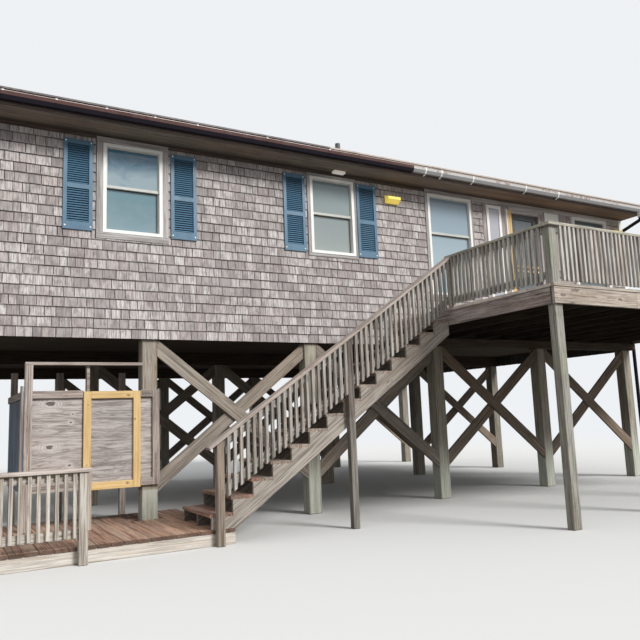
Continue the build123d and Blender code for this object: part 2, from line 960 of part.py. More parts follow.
# Entry door and sidelight
entry_x0 = entry_x - door_w / 2
entry_x1 = entry_x + door_w / 2
entry_high = floor_top + door_h
frame_back = frame_depth - frame_proud
entry_jambs = block(
    entry_x0 - jamb_w, entry_x1 + jamb_w, -frame_proud, frame_back, floor_top, entry_high + jamb_w
)
entry_jambs = entry_jambs - block(entry_x0, entry_x1, -frame_proud - 1, wall_t, floor_top - 1, entry_high)
door_leaf_y1 = door_leaf_y0 + door_leaf_t
door_pane_y0 = door_leaf_y0 + (door_leaf_t - pane_t) / 2
light_x0, light_x1 = entry_x0 + door_stile, entry_x1 - door_stile
mid_rail_z0 = floor_top + door_mid_rail_foot
entry_door = block(entry_x0, entry_x1, door_leaf_y0, door_leaf_y1, floor_top, entry_high)
door_light_spans = (
    (floor_top + door_foot_rail, mid_rail_z0),
    (mid_rail_z0 + door_mid_rail, entry_high - door_stile),
)
for z0, z1 in door_light_spans:
    entry_door = entry_door - block(light_x0, light_x1, door_leaf_y0 - 1, door_leaf_y1 + 1, z0, z1)
    panes.append(block(light_x0, light_x1, door_pane_y0, door_pane_y0 + pane_t, z0, z1))
side_x0 = sidelight_x - sidelight_w / 2
side_x1 = sidelight_x + sidelight_w / 2
frames.append(
    ring_y(side_x0, side_x1, -frame_proud, frame_back, sidelight_low, sidelight_high, sidelight_bar)
)
side_pane_y0 = sidelight_recess - frame_proud
panes.append(
    block(
        side_x0 + sidelight_bar,
        side_x1 - sidelight_bar,
        side_pane_y0,
        side_pane_y0 + pane_t,
        sidelight_low + sidelight_bar,
        sidelight_high - sidelight_bar,
    )
)


def corner_board(x_sign, y_sign):
    """Upright corner trim wrapping one corner of the walls, two boards in an L."""
    low = deck_top + deck_nose if x_sign > 0 and y_sign < 0 else pile_top
    corner_x = x_sign * half_len
    corner_y = 0 if y_sign < 0 else house_depth
    out_x = corner_x + x_sign * corner_board_t
    out_y = corner_y + y_sign * corner_board_t
    in_x = corner_x - x_sign * corner_board_w
    in_y = corner_y - y_sign * corner_board_w
    front_leaf = block(*sorted((in_x, out_x)), *sorted((corner_y, out_y)), low, eave_bottom)
    side_leaf = block(*sorted((corner_x, out_x)), *sorted((in_y, out_y)), low, eave_bottom)
    return front_leaf + side_leaf


corner_boards = [corner_board(sx, sy) for sx in (-1, 1) for sy in (-1, 1)]


def wall_light(x):
    """Shallow flood light box with a sloping hood on a wall plate."""
    z, h = wall_light_z, wall_light_h
    points = [
        (0, z - h / 2),
        (-wall_light_reach * hood_foot_share, z - h / 2),
        (-wall_light_reach, z - h * hood_lip_low_share),
        (-wall_light_reach, z + h * hood_lip_high_share),
        (0, z + h / 2),
    ]
    return prism_x(points, x - wall_light_w / 2, x + wall_light_w / 2)


soffit_light_x0 = pile_x[2] + soffit_light_from_pile - soffit_light_w / 2
soffit_light_y0 = soffit_light_y - soffit_light_d / 2
soffit_light = block(
    soffit_light_x0,
    soffit_light_x0 + soffit_light_w,
    soffit_light_y0,
    soffit_light_y0 + soffit_light_d,
    eave_bottom - soffit_light_h,
    eave_bottom,
)
sign_x0 = pile_x[5] + sign_from_pile - sign_w / 2
sign_board = block(sign_x0, sign_x0 + sign_w, -sign_t, 0, sign_low, sign_high)

# Every node, in the order in which a builder would raise them
nodes = {}
for row in ("front", "middle", "back"):
    nodes[row + "_piles"] = pile_row(row_y[row])
nodes["girders"] = [girder(y0) for y0 in girder_y0.values()]
nodes["braces_falling"] = [board for row in row_y for board in braces(row, False)]
nodes["braces_rising"] = [board for row in row_y for board in braces(row, True)]
nodes["floor_platform"] = floor_platform
nodes["front_wall"] = front_wall
nodes["back_wall"] = long_wall("back")
nodes["left_wall"] = gable_wall("left")
nodes["right_wall"] = gable_wall("right")
nodes["corner_boards"] = corner_boards
nodes["roof_front"] = roof_slab("front")
nodes["roof_back"] = roof_slab("back")
nodes["eave_soffits"] = [
    eave_board(side, -eave_reach, 0, eave_bottom, eave_top_face) for side in ("front", "back")
]
nodes["eave_fascias"] = [
    eave_board(side, -eave_reach - fascia_t, -eave_reach, eave_bottom, eave_top_face + roof_t)
    for side in ("front", "back")
]
nodes["rake_boards"] = [rake_board("left"), rake_board("right")]
nodes["brown_gutters"] = [
    gutter(-half_len, gutter_split_x, "front"),
    gutter(-half_len, half_len, "back"),
]
nodes["grey_gutter"] = gutter(gutter_split_x, half_len + gutter_past_end, "front")
nodes["downspout"] = downspout()
nodes["vent_pipe"] = vent_pipe()
nodes["window_casings"] = casings
nodes["window_frames"] = frames
nodes["upper_sashes"] = uppers
nodes["lower_sashes"] = lowers
nodes["window_panes"] = panes
nodes["entry_jambs"] = entry_jambs
nodes["entry_door"] = entry_door
nodes["shutters"] = [shutter(pile_x[1] + x) for x in shutters_from_second_pile]
nodes["shutters"] += [shutter(pile_x[2] + x) for x in shutters_from_third_pile]
nodes["wall_lights"] = [
    wall_light(pile_x[3] + first_light_from_pile),
    wall_light(pile_x[5] + end_light_from_pile),
]
nodes["soffit_light"] = soffit_light
nodes["sign_board"] = sign_board
nodes["deck_posts"] = [deck_post(x0) for x0 in deck_post_xs()]
nodes["deck_ledger"] = block(deck_left, deck_right, ledger_y0, skin_t, deck_joist_low, deck_joist_top)
nodes["deck_bearer"] = block(deck_left, deck_right, skin_t - bearer_t, skin_t, pile_top, deck_joist_low)
nodes["deck_front_rim"] = block(
    deck_left, deck_right, -deck_reach, post_front_y, deck_joist_low, deck_joist_top
)
nodes["deck_side_rims"] = [
    block(x0, x0 + board_t, post_front_y + rim_short, ledger_y0, deck_joist_low, deck_joist_top)
    for x0 in (deck_left, deck_right - board_t)
]
nodes["deck_joists"] = deck_joists()
nodes["deck_floor"] = deck_floor
nodes["deck_front_railing"] = deck_front_rails()
nodes["deck_side_railings"] = [deck_left_rail, deck_right_rail]
nodes["stair_stringers"] = stair_stringers
nodes["stair_treads"] = stair_treads
nodes["stair_railing"] = [
    stair_rail(newel_x1, mid_x0, mid_x0),
    stair_rail(mid_x1, head_post_x0, deck_left - seat_gap),
]
nodes["boardwalk_frame"] = walk_frame
nodes["boardwalk_floor"] = walk_floor
nodes["boardwalk_railing"] = [walk_rail, walk_end_upright]
nodes["railing_posts"] = [
    stair_post(newel_x0, newel_x1),
    stair_post(mid_x0, mid_x1),
    head_post,
    right_wall_post,
    *walk_posts,
]
nodes["rail_caps"] = [stair_cap, deck_rail_cap, walk_cap]
nodes["shower_posts"] = stall_posts
nodes["shower_top_frame"] = fuse([stall_mid, stall_top_rail])
nodes["shower_boards"] = [fixed_bars, right_bars, stall_side_stud, stall_side_board]
nodes["shower_sheets"] = [fixed_sheet, right_sheet, stall_left_sheet, stall_right_sheet, stall_rear_sheet]
nodes["shower_hinge_leaves"] = hinge_half(False)
nodes["shower_door_hinge_leaves"] = hinge_half(True)
nodes["shower_door_sheet"] = door_sheet
nodes["shower_door_frame"] = door_bars

# The origin is the middle of the footprint's bounding rectangle, on the ground
front_reach = -deck_reach - deck_nose
back_reach = house_depth - gutter_back_y + gutter_w
left_reach = -half_len - rake_t
right_reach = pipe_x + pipe_r
centre_x = (left_reach + right_reach) / 2
centre_y = (front_reach + back_reach) / 2

for name, shape in nodes.items():
    if isinstance(shape, list):
        shape = Compound(children=shape)
    moved = Pos(-centre_x, -centre_y, 0) * shape
    export_step(moved, f"parts/{name}.step")
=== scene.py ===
import math
import random

import bmesh
import bpy
import numpy as np
from mathutils import Matrix, Vector


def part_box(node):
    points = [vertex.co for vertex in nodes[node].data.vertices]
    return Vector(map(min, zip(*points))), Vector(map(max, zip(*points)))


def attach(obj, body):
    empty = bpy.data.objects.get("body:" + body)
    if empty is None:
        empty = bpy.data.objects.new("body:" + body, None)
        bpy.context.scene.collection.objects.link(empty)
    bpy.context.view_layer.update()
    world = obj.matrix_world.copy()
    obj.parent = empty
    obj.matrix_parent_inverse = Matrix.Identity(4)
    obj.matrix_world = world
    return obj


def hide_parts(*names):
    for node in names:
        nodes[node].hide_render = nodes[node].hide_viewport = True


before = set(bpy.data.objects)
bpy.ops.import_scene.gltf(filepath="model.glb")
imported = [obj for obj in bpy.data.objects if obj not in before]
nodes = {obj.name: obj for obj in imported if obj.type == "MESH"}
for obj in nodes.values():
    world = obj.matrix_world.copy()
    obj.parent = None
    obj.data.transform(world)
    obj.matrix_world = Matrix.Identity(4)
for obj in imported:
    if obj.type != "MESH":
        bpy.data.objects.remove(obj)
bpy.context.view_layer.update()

# Looks of the raised beach house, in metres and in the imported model's frame.
# x along the front wall counts from the middle of the house, and y from the front wall's face.

X, Y, Z = Vector((1, 0, 0)), Vector((0, 1, 0)), Vector((0, 0, 1))


# Places read from the frame
def islands(bm):
    """Groups of joined vertices of a bmesh."""
    seen = set()
    groups = []
    for start in bm.verts:
        if start in seen:
            continue
        seen.add(start)
        group, queue = [], [start]
        while queue:
            v = queue.pop()
            group.append(v)
            for e in v.link_edges:
                other = e.other_vert(v)
                if other not in seen:
                    seen.add(other)
                    queue.append(other)
        groups.append(group)
    return groups


def welded(node):
    """Bmesh of a CAD node with its doubled vertices joined."""
    bm = bmesh.new()
    bm.from_mesh(nodes[node].data)
    bmesh.ops.remove_doubles(bm, verts=bm.verts, dist=1e-5)
    return bm


def corners(group):
    """Low and high corner of a group of vertices."""
    co = np.array([v.co for v in group])
    return Vector(co.min(0)), Vector(co.max(0))


def spans(node):
    """Boxes (low corner, high corner) of the separate solids of a CAD node, from left to right."""
    bm = welded(node)
    found = [corners(group) for group in islands(bm)]
    bm.free()
    return sorted(found, key=lambda b: (round(b[0].x, 3), round(b[0].y, 3), round(b[0].z, 3)))


wall_low, wall_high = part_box("front_wall")
house_x = (wall_low.x + wall_high.x) / 2
face_y = wall_low.y
half_len = (wall_high.x - wall_low.x) / 2
house_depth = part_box("back_wall")[1].y - face_y
wall_foot = wall_low.z
eave_z, soffit_top = (corner.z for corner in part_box("eave_soffits"))
deck_low, deck_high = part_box("deck_floor")
walk_low, walk_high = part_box("boardwalk_floor")
gutter_low, gutter_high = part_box("grey_gutter")
gutter_waist = (gutter_low.z + gutter_high.z) / 2
ROOF_SLOPE = 1 / 3
EAVE_REACH = 0.45
ROOF_THICK = 0.172
ROOF_UNDER = soffit_top + EAVE_REACH * ROOF_SLOPE

# Height of one course of wall shingles, close to 0.130 m, with whole courses up to the eave
COURSE = (eave_z - wall_foot) / round((eave_z - wall_foot) / 0.130)


def at(x, y, z):
    """Point given along the front wall from the house's middle, behind the wall's face, and up."""
    return Vector((house_x + x, face_y + y, z))


def show(name, data):
    """Object of some data, put in the scene."""
    obj = bpy.data.objects.new(name, data)
    bpy.context.scene.collection.objects.link(obj)
    return obj


# Camera
CAMERA_PLACE = Vector((-6.104, -11.426, 1.391))
CAMERA_YAW = math.radians(29.442)
CAMERA_PITCH = math.radians(8.203)
CAMERA_ROLL = math.radians(-2.199)
FOCAL_PX = 674.9
IMAGE_PX = 640
SENSOR_MM = 36


def add_camera():
    """Camera at the photograph's place and angle."""
    flat = math.cos(CAMERA_PITCH)
    forward = Vector((math.sin(CAMERA_YAW) * flat, math.cos(CAMERA_YAW) * flat, math.sin(CAMERA_PITCH)))
    level = Vector((math.cos(CAMERA_YAW), -math.sin(CAMERA_YAW), 0))
    above = level.cross(forward)
    right = level * math.cos(CAMERA_ROLL) + above * math.sin(CAMERA_ROLL)
    up = above * math.cos(CAMERA_ROLL) - level * math.sin(CAMERA_ROLL)
    data = bpy.data.cameras.new("camera")
    data.sensor_width = SENSOR_MM
    data.sensor_fit = "HORIZONTAL"
    data.lens = FOCAL_PX / IMAGE_PX * SENSOR_MM
    data.clip_end = 200
    camera = show("camera", data)
    turn = Matrix((right, up, -forward)).transposed().to_4x4()
    camera.matrix_world = Matrix.Translation(CAMERA_PLACE) @ turn
    bpy.context.scene.camera = camera


# Node trees
class Tree:
    """Node tree of a material or the world, with short calls for the nodes used here."""

    def __init__(self, owner):
        owner.use_nodes = True
        self.tree = owner.node_tree

    def node(self, kind, **settings):
        made = self.tree.nodes.new(kind)
        for key, value in settings.items():
            setattr(made, key, value)
        return made

    def put(self, value, socket):
        """Set a socket to a number or colour, or join it to another socket."""
        if isinstance(value, bpy.types.NodeSocket):
            self.tree.links.new(value, socket)
        elif socket.type == "RGBA":
            socket.default_value = (*value[:3], 1)
        else:
            socket.default_value = value

    def use(self, kind, output, inputs, **settings):
        """Output of a new node whose inputs are set or joined."""
        made = self.node(kind, **settings)
        for key, value in inputs.items():
            self.put(value, made.inputs[key])
        return made.outputs[output]

    def attribute(self, name, output="Fac"):
        return self.node("ShaderNodeAttribute", attribute_name=name).outputs[output]

    def place(self):
        return self.node("ShaderNodeTexCoord").outputs["Object"]

    def vector(self, operation, a, b):
        return self.use("ShaderNodeVectorMath", "Vector", {0: a, 1: b}, operation=operation)

    def scale(self, value, share):
        """Colour or vector times a number."""
        return self.use("ShaderNodeVectorMath", "Vector", {0: value, "Scale": share}, operation="SCALE")

    def length(self, value):
        return self.use("ShaderNodeVectorMath", "Value", {0: value}, operation="LENGTH")

    def part(self, value, axis):
        """One share of a vector or colour, by its letter."""
        return self.use("ShaderNodeSeparateXYZ", axis, {0: value})

    def math(self, operation, a, b=0.0, clamp=False):
        return self.use("ShaderNodeMath", 0, {0: a, 1: b}, operation=operation, use_clamp=clamp)

    def times(self, a, b):
        return self.math("MULTIPLY", a, b)

    def noise(self, place, scales, detail=4.0, rough=0.55, twist=0.0):
        """Noise over a place stretched by three scales."""
        stretched = self.vector("MULTIPLY", place, scales)
        inputs = {"Vector": stretched, "Scale": 1, "Detail": detail, "Roughness": rough}
        return self.use("ShaderNodeTexNoise", "Fac", {**inputs, "Distortion": twist})

    def ramp(self, value, low, high, to_low=0.0, to_high=1.0):
        """Soft step of a value from low to high, given as to_low to to_high."""
        limits = {"Value": value, "From Min": low, "From Max": high, "To Min": to_low, "To Max": to_high}
        return self.use("ShaderNodeMapRange", "Result", limits, interpolation_type="SMOOTHSTEP")

    def mix(self, share, a, b):
        return self.use("ShaderNodeMix", 2, {"Factor": share, 6: a, 7: b}, data_type="RGBA")

    def mix_shaders(self, share, a, b, output):
        """Join a mix of two shaders to a new output node."""
        mixed = self.use("ShaderNodeMixShader", 0, {0: share, 1: a, 2: b})
        self.put(mixed, self.node(output).inputs["Surface"])

    def bump(self, height, strength, depth):
        inputs = {"Height": height, "Strength": strength, "Distance": depth}
        return self.use("ShaderNodeBump", "Normal", inputs)

    def oval(self, centre, radii):
        """Distance from a point, in radii along each axis."""
        return self.length(self.vector("DIVIDE", self.vector("SUBTRACT", self.place(), centre), radii))

    def middle_line(self, value):
        """Distance of a noise from its middle value, which is small along thin winding lines."""
        return self.math("ABSOLUTE", self.math("SUBTRACT", value, 0.5))

    def band(self, value, low, high):
        """1 where a value lies between two limits."""
        return self.times(self.math("GREATER_THAN", value, low), self.math("LESS_THAN", value, high))


# Light, floor and background
SUN_STRENGTH = 2.95
SUN_SOFTNESS = math.radians(18)
SUN_COLOUR = (1.0, 0.985, 0.96)
SUN_FROM = Vector((0.34, -0.76, 0.55))
SKY_STRENGTH = 0.70
SKY_COLOUR = (0.96, 0.98, 1.0)
PALE = (0.86, 0.885, 0.91)
FLOOR_PALE = (0.74, 0.74, 0.73)
FLOOR_BOUNCE = (0.20, 0.19, 0.175)
FLOOR_RADIUS = 60
FLOOR_FADE = (10, 30)
FLOOR_DROP = 0.002


def add_world():
    """Even pale sky, shown plain behind the object and in what reflects or refracts it."""
    world = bpy.data.worlds.new("pale_sky")
    bpy.context.scene.world = world
    t = Tree(world)
    t.tree.nodes.clear()
    light = t.use("ShaderNodeBackground", 0, {"Color": SKY_COLOUR, "Strength": SKY_STRENGTH})
    shown = t.use("ShaderNodeBackground", 0, {"Color": PALE, "Strength": 1})
    rays = t.node("ShaderNodeLightPath").outputs
    direct = t.math("MAXIMUM", rays["Is Camera Ray"], rays["Is Glossy Ray"])
    direct = t.math("MAXIMUM", direct, rays["Is Transmission Ray"])
    t.mix_shaders(direct, light, shown, "ShaderNodeOutputWorld")


def add_sun():
    """Soft high light from the right of the camera."""
    data = bpy.data.lights.new("sun", "SUN")
    data.energy = SUN_STRENGTH
    data.angle = SUN_SOFTNESS
    data.color = SUN_COLOUR
    sun = show("sun", data)
    sun.rotation_mode = "QUATERNION"
    sun.rotation_quaternion = SUN_FROM.to_track_quat("Z", "Y")


def add_floor():
    """Round pale floor that fades into the background colour for the camera."""
    bm = bmesh.new()
    bmesh.ops.create_circle(bm, cap_ends=True, segments=96, radius=FLOOR_RADIUS)
    mesh = bpy.data.meshes.new("studio_floor")
    bm.to_mesh(mesh)
    bm.free()
    floor = show("studio_floor", mesh)
    floor.location = (0, 0, -FLOOR_DROP)
    material = bpy.data.materials.new("studio_floor")
    t = Tree(material)
    t.tree.nodes.clear()
    seen = t.node("ShaderNodeLightPath").outputs["Is Camera Ray"]
    solid = t.use("ShaderNodeBsdfDiffuse", 0, {"Color": t.mix(seen, FLOOR_BOUNCE, FLOOR_PALE)})
    glow = t.use("ShaderNodeEmission", 0, {"Color": PALE})
    fade = t.times(t.ramp(t.length(t.place()), *FLOOR_FADE), seen)
    t.mix_shaders(fade, solid, glow, "ShaderNodeOutputMaterial")
    mesh.materials.append(material)


# Materials
# MAT keeps them by name. A colour's three shares are linear.
MAT = {}
GLASS_MEETING_Z = 4.55
# Deep blue at the top of the painted sky reflection in the first window's upper panes.
PAINTED_SKY_BLUE = (0.075, 0.175, 0.26)
PALE_GREENS = ((0.36, 0.37, 0.30), (0.64, 0.67, 0.59))
MOSS = (0.34, 0.37, 0.24)
BLEACHED = (0.72, 0.63, 0.56)
ORANGES = ((0.33, 0.19, 0.115), (0.15, 0.095, 0.065))


def dim(colour, share):
    """Colour times a number."""
    return tuple(c * share for c in colour)


class Shade(Tree):
    """Tree of one material, which MAT keeps."""

    def __init__(self, name, roughness, gloss=0.5):
        MAT[name] = bpy.data.materials.new(name)
        super().__init__(MAT[name])
        self.shader = self.tree.nodes["Principled BSDF"].inputs
        self.shader["Roughness"].default_value = roughness
        self.shader["Specular IOR Level"].default_value = gloss

    def finish(self, colour, normal=None, roughness=None):
        for value, key in ((colour, "Base Color"), (normal, "Normal"), (roughness, "Roughness")):
            if value is not None:
                self.put(value, self.shader[key])


def timber(
    name, pale, dark, warm, warm_share=0.35, knots=0.5, checks=0.6, green=0.0, stain=0.35, tone=0.35,
    rough=0.82, gloss=0.5, painted_shade_from=None, warm_from=None, pale_below_x=None, green_below=None,
    green_fade=0.01, green_share=0.8, placed_knots=(),
):
    """Weathered timber: grain along each board, checks, knots, stains and a tone for each board.

    painted_shade_from is a pair of y places between which the timber darkens as painted shade, warm_from a
    pair of x places between which the timber turns orange, and pale_below_x a place left of which cut ends
    are bleached.
    Below green_below the timber is pale green by green_share, with green_fade for the soft edge. placed_knots
    are (x, z, radius along x, radius up) on upright faces. A low gloss keeps dark timber from mirroring the
    sky.
    """
    s = Shade(name, rough, gloss)
    grain = s.attribute("grain", "Vector")
    broad = s.noise(grain, (0.5, 7, 7), 3, 0.6, 0.4)
    streak = s.noise(grain, (1.6, 55, 55), 5, 0.65, 0.3)
    fibre = s.noise(grain, (9, 330, 330), 3, 0.6)
    patches = s.noise(s.place(), (1.1, 1.1, 1.1), 4, 0.6)
    weather = s.noise(grain, (2.2, 11, 11), 4, 0.65, 0.5)
    colour = s.mix(s.ramp(streak, 0.36, 0.60), dark, pale)
    colour = s.mix(s.ramp(weather, 0.52, 0.72, 0, 0.55), colour, dim(dark, 0.8))
    colour = s.mix(s.times(s.ramp(broad, 0.42, 0.7), warm_share), colour, warm)
    colour = s.mix(s.times(s.ramp(patches, 0.5, 0.72), stain), colour, dark)
    line = s.middle_line(s.noise(grain, (0.9, 34, 34), 2, 0.5, 0.6))
    crack = s.times(s.times(s.ramp(line, 0.0, 0.016, 1, 0), s.ramp(broad, 0.44, 0.6)), checks)
    colour = s.mix(crack, colour, dim(dark, 0.28))
    cells = s.node("ShaderNodeTexVoronoi", feature="F1")
    cells.inputs["Scale"].default_value = 1
    s.put(s.vector("MULTIPLY", grain, (1.5, 5.5, 5.5)), cells.inputs["Vector"])
    near = s.ramp(cells.outputs["Distance"], 0.045, 0.13, 1, 0)
    chosen = s.ramp(s.part(cells.outputs["Color"], "X"), 0.45, 0.55)
    colour = s.mix(s.times(s.times(near, chosen), knots), colour, dim(dark, 0.45))
    if green:
        moss = s.ramp(s.noise(s.place(), (2.3, 2.3, 1.4), 5, 0.65), 0.48, 0.68)
        colour = s.mix(s.times(moss, green), colour, MOSS)
    if green_below:
        limits = green_below - green_fade, green_below + green_fade
        low = s.ramp(s.part(s.place(), "Z"), *limits, green_share, 0)
        colour = s.mix(low, colour, s.mix(s.ramp(streak, 0.3, 0.6), *PALE_GREENS))
    for x, z, wide, tall in placed_knots:
        ragged = s.ramp(s.noise(s.place(), (26, 26, 34), 3, 0.6), 0.3, 0.7, -0.55, 0.55)
        far = s.math("ADD", s.oval((x, 0, z), (wide, 100, tall)), ragged)
        colour = s.mix(s.ramp(far, 0.8, 2.8, 0.35, 0), colour, dim(pale, 1.2))
        colour = s.mix(s.ramp(far, 0.4, 1.3, 0.8, 0), colour, dim(dark, 0.45))
    if pale_below_x is not None:
        end = s.ramp(s.part(s.place(), "X"), pale_below_x - 0.004, pale_below_x + 0.004, 0.75, 0)
        colour = s.mix(end, colour, BLEACHED)
    if warm_from:
        orange = s.mix(s.ramp(broad, 0.35, 0.65), *ORANGES)
        colour = s.mix(s.ramp(s.part(s.place(), "X"), *warm_from, 0, 0.7), colour, orange)
    # Painted shade: the timber darkens towards the second of the two y places.
    if painted_shade_from:
        colour = s.mix(s.ramp(s.part(s.place(), "Y"), *painted_shade_from, 0, 0.72), colour, dim(dark, 0.2))
    lift = s.math("ADD", s.times(s.attribute("tone"), tone), 1 - tone / 2)
    height = s.math("ADD", s.times(streak, 0.6), s.times(fibre, 0.4))
    height = s.math("SUBTRACT", height, s.times(crack, 0.8))
    dull = s.ramp(fibre, 0.3, 0.7, rough - 0.08, rough + 0.1)
    s.finish(s.scale(colour, lift), s.bump(height, 0.55, 0.004), dull)


def painted(name, colour, rough=0.55, dirt=(0.35, 0.33, 0.3), dirt_share=0.35, glow=0.0):
    """Old paint or moulded plastic with soft dirt and streaks that run down. A lamp's cover glows."""
    s = Shade(name, rough)
    if glow:
        s.put(colour, s.shader["Emission Color"])
        s.put(glow, s.shader["Emission Strength"])
    place = s.place()
    runs = s.noise(place, (14, 14, 1.3), 4, 0.6)
    patches = s.noise(place, (2.2, 2.2, 2.2), 5, 0.62)
    fine = s.noise(place, (60, 60, 60), 3, 0.6)
    shown = s.mix(s.times(s.ramp(s.times(runs, patches), 0.22, 0.42), dirt_share), colour, dirt)
    shown = s.mix(s.ramp(fine, 0.3, 0.75, 0, 0.12), shown, dim(colour, 0.7))
    s.finish(shown, s.bump(fine, 0.12, 0.002), s.ramp(patches, 0.3, 0.7, rough - 0.08, rough + 0.12))


def metal_paint(
    name, colour, rust_share, rust=(0.20, 0.085, 0.045), rough=0.45, painted_shade_below_z=None, painted_shade_colour=None, gloss=0.5
):
    """Painted sheet metal with rust that gathers in patches and runs, and below a given height a darker
    colour that is painted shade on the lower face.
    """
    s = Shade(name, rough, gloss)
    place = s.place()
    runs = s.noise(place, (9, 9, 3.2), 6, 0.68, 0.4)
    patches = s.noise(place, (1.3, 2, 2), 4, 0.6)
    fine = s.noise(place, (70, 70, 70), 3, 0.6)
    shown = s.mix(s.times(s.ramp(s.times(runs, patches), 0.25, 0.34), rust_share), colour, rust)
    shown = s.mix(s.ramp(fine, 0.35, 0.75, 0, 0.18), shown, dim(colour, 0.6))
    # Painted shade: below the given height the lower face takes the darker colour.
    if painted_shade_below_z is not None:
        shown = s.mix(s.ramp(s.part(place, "Z"), painted_shade_below_z - 0.004, painted_shade_below_z + 0.004, 0.92, 0), shown, painted_shade_colour)
    s.finish(shown, s.bump(fine, 0.15, 0.001), s.ramp(runs, 0.3, 0.7, rough - 0.05, rough + 0.25))


def shingle_finish(name):
    """Silvered wall shingles: streaks up and down, and a painted shadow line below each butt above."""
    s = Shade(name, 0.86)
    grain = s.attribute("grain", "Vector")
    streak = s.noise(grain, (3.0, 60, 60), 4, 0.66)
    fibre = s.noise(grain, (12, 420, 420), 3, 0.6)
    blotch = s.noise(grain, (7, 12, 12), 4, 0.62)
    patches = s.noise(s.place(), (0.55, 0.55, 0.7), 5, 0.6)
    colour = s.mix(s.attribute("tone"), (0.35, 0.318, 0.311), (0.67, 0.632, 0.62))
    for share, tint in (
        (s.ramp(s.attribute("hue"), 0.6, 1.0, 0, 0.4), (0.45, 0.37, 0.35)),
        (s.ramp(streak, 0.38, 0.58, 0.7, 0), (0.21, 0.18, 0.175)),
        (s.ramp(blotch, 0.46, 0.68, 0, 0.68), (0.21, 0.185, 0.18)),
        (s.ramp(patches, 0.45, 0.75, 0, 0.22), (0.36, 0.33, 0.33)),
    ):
        colour = s.mix(share, colour, tint)
    # Painted shadow: a dark, uneven line just below the butt of the course above.
    above_foot = s.math("SUBTRACT", s.part(s.place(), "Z"), wall_foot)
    in_course = s.math("FRACT", s.math("DIVIDE", above_foot, COURSE))
    uneven = s.ramp(s.noise(s.place(), (2.5, 2.5, 9), 3, 0.6), 0.35, 0.6, 0.65, 1)
    line = s.times(s.ramp(in_course, 0.82, 0.965, 0, 0.95), uneven)
    height = s.math("ADD", s.times(streak, 0.7), s.times(fibre, 0.3))
    s.finish(s.mix(line, colour, (0.045, 0.038, 0.036)), s.bump(height, 0.6, 0.003))


def plywood_finish(name, pale, dark, scales, warm, knots=(), gloss=0.5):
    """Weathered plywood: long wavy figure across the sheet, which runs round a few oval knots.

    knots are (x, z, radius along x, radius up).
    """
    s = Shade(name, 0.8, gloss)
    place = s.place()
    wave = s.noise(place, scales, 6, 0.72, 1.3)
    broad = s.noise(place, dim(scales, 0.28), 3, 0.5, 0.8)
    line = s.middle_line(s.noise(place, dim(scales, 0.6), 3, 0.5, 1.4))
    colour = s.mix(s.ramp(wave, 0.36, 0.62), dark, pale)
    colour = s.mix(s.ramp(broad, 0.45, 0.7, 0, 0.35), colour, warm)
    colour = s.mix(s.ramp(line, 0.0, 0.022, 0.5, 0), colour, dim(dark, 0.5))
    for x, z, wide, tall in knots:
        far = s.math("ADD", s.oval((x, 0, z), (wide, 100, tall)), s.ramp(wave, 0.3, 0.7, -0.35, 0.35))
        rings = s.math("FRACT", s.times(far, 1.6))
        ring_colour = s.mix(s.ramp(rings, 0.0, 0.45), dark, dim(pale, 1.12))
        colour = s.mix(s.ramp(far, 1.0, 4.2, 0.9, 0), colour, ring_colour)
        colour = s.mix(s.ramp(far, 0.75, 1.1, 0.9, 0), colour, dim(dark, 0.33))
    s.finish(colour, s.bump(wave, 0.4, 0.003))


def roof_finish(name):
    """Mineral roof shingles with granules and a tone for each tab."""
    s = Shade(name, 0.92)
    specks = s.noise(s.place(), (160, 160, 160), 2, 0.7)
    patches = s.noise(s.place(), (0.7, 0.7, 0.7), 4, 0.6)
    colour = s.mix(s.attribute("tone"), (0.085, 0.078, 0.075), (0.17, 0.155, 0.145))
    colour = s.mix(s.ramp(specks, 0.4, 0.7, 0, 0.6), colour, (0.27, 0.25, 0.235))
    colour = s.mix(s.ramp(patches, 0.45, 0.75, 0, 0.35), colour, (0.12, 0.125, 0.10))
    s.finish(colour, s.bump(specks, 0.5, 0.002))


def glass_finish(name):
    """Window glass with a painted reflection of a bright sky, in another tint at each window along the front.

    The first window is blue above its meeting rail and teal below, the next ones grey, then lilac, then the
    white sidelight, and the entry door and what is right of it dark.
    """
    s = Shade(name, 0.05)
    place = s.place()
    # Painted reflection: a sky gradient by height, with clouds, in its own tint at each window, stands in for
    # the sky that the panes mirror.
    painted_cloud = s.noise(place, (1.6, 1.6, 3.2), 5, 0.62, 0.5)
    along, height = s.part(place, "X"), s.part(place, "Z")
    upper = s.math("ADD", s.ramp(height, 4.60, 5.02), s.ramp(painted_cloud, 0.35, 0.65, -0.3, 0.3), clamp=True)
    lower = s.math("ADD", s.ramp(height, 3.95, 4.50), s.ramp(painted_cloud, 0.4, 0.6, -0.2, 0.2), clamp=True)
    blue = s.mix(upper, (0.29, 0.375, 0.415), PAINTED_SKY_BLUE)
    teal = s.mix(lower, (0.21, 0.30, 0.335), (0.145, 0.25, 0.295))
    colour = s.mix(s.math("GREATER_THAN", height, GLASS_MEETING_Z), teal, blue)
    whole = s.ramp(height, 3.9, 5.1)
    grey = s.mix(whole, (0.325, 0.35, 0.34), (0.23, 0.28, 0.285))
    lilac = s.mix(whole, (0.35, 0.44, 0.49), (0.235, 0.31, 0.38))
    for share, tint in (
        (s.ramp(along, house_x - 3.3, house_x - 1.2, 0, 0.85), grey),
        (s.band(along, house_x + 0.9, house_x + 2.4), lilac),
        (s.band(along, house_x + 2.4, house_x + 2.95), (0.42, 0.42, 0.46)),
        (s.ramp(along, house_x + 2.95, house_x + 3.0, 0, 0.8), (0.075, 0.09, 0.10)),
    ):
        colour = s.mix(share, colour, tint)
    s.put(0.3, s.shader["Coat Weight"])
    s.put(0.03, s.shader["Coat Roughness"])
    s.finish(colour)


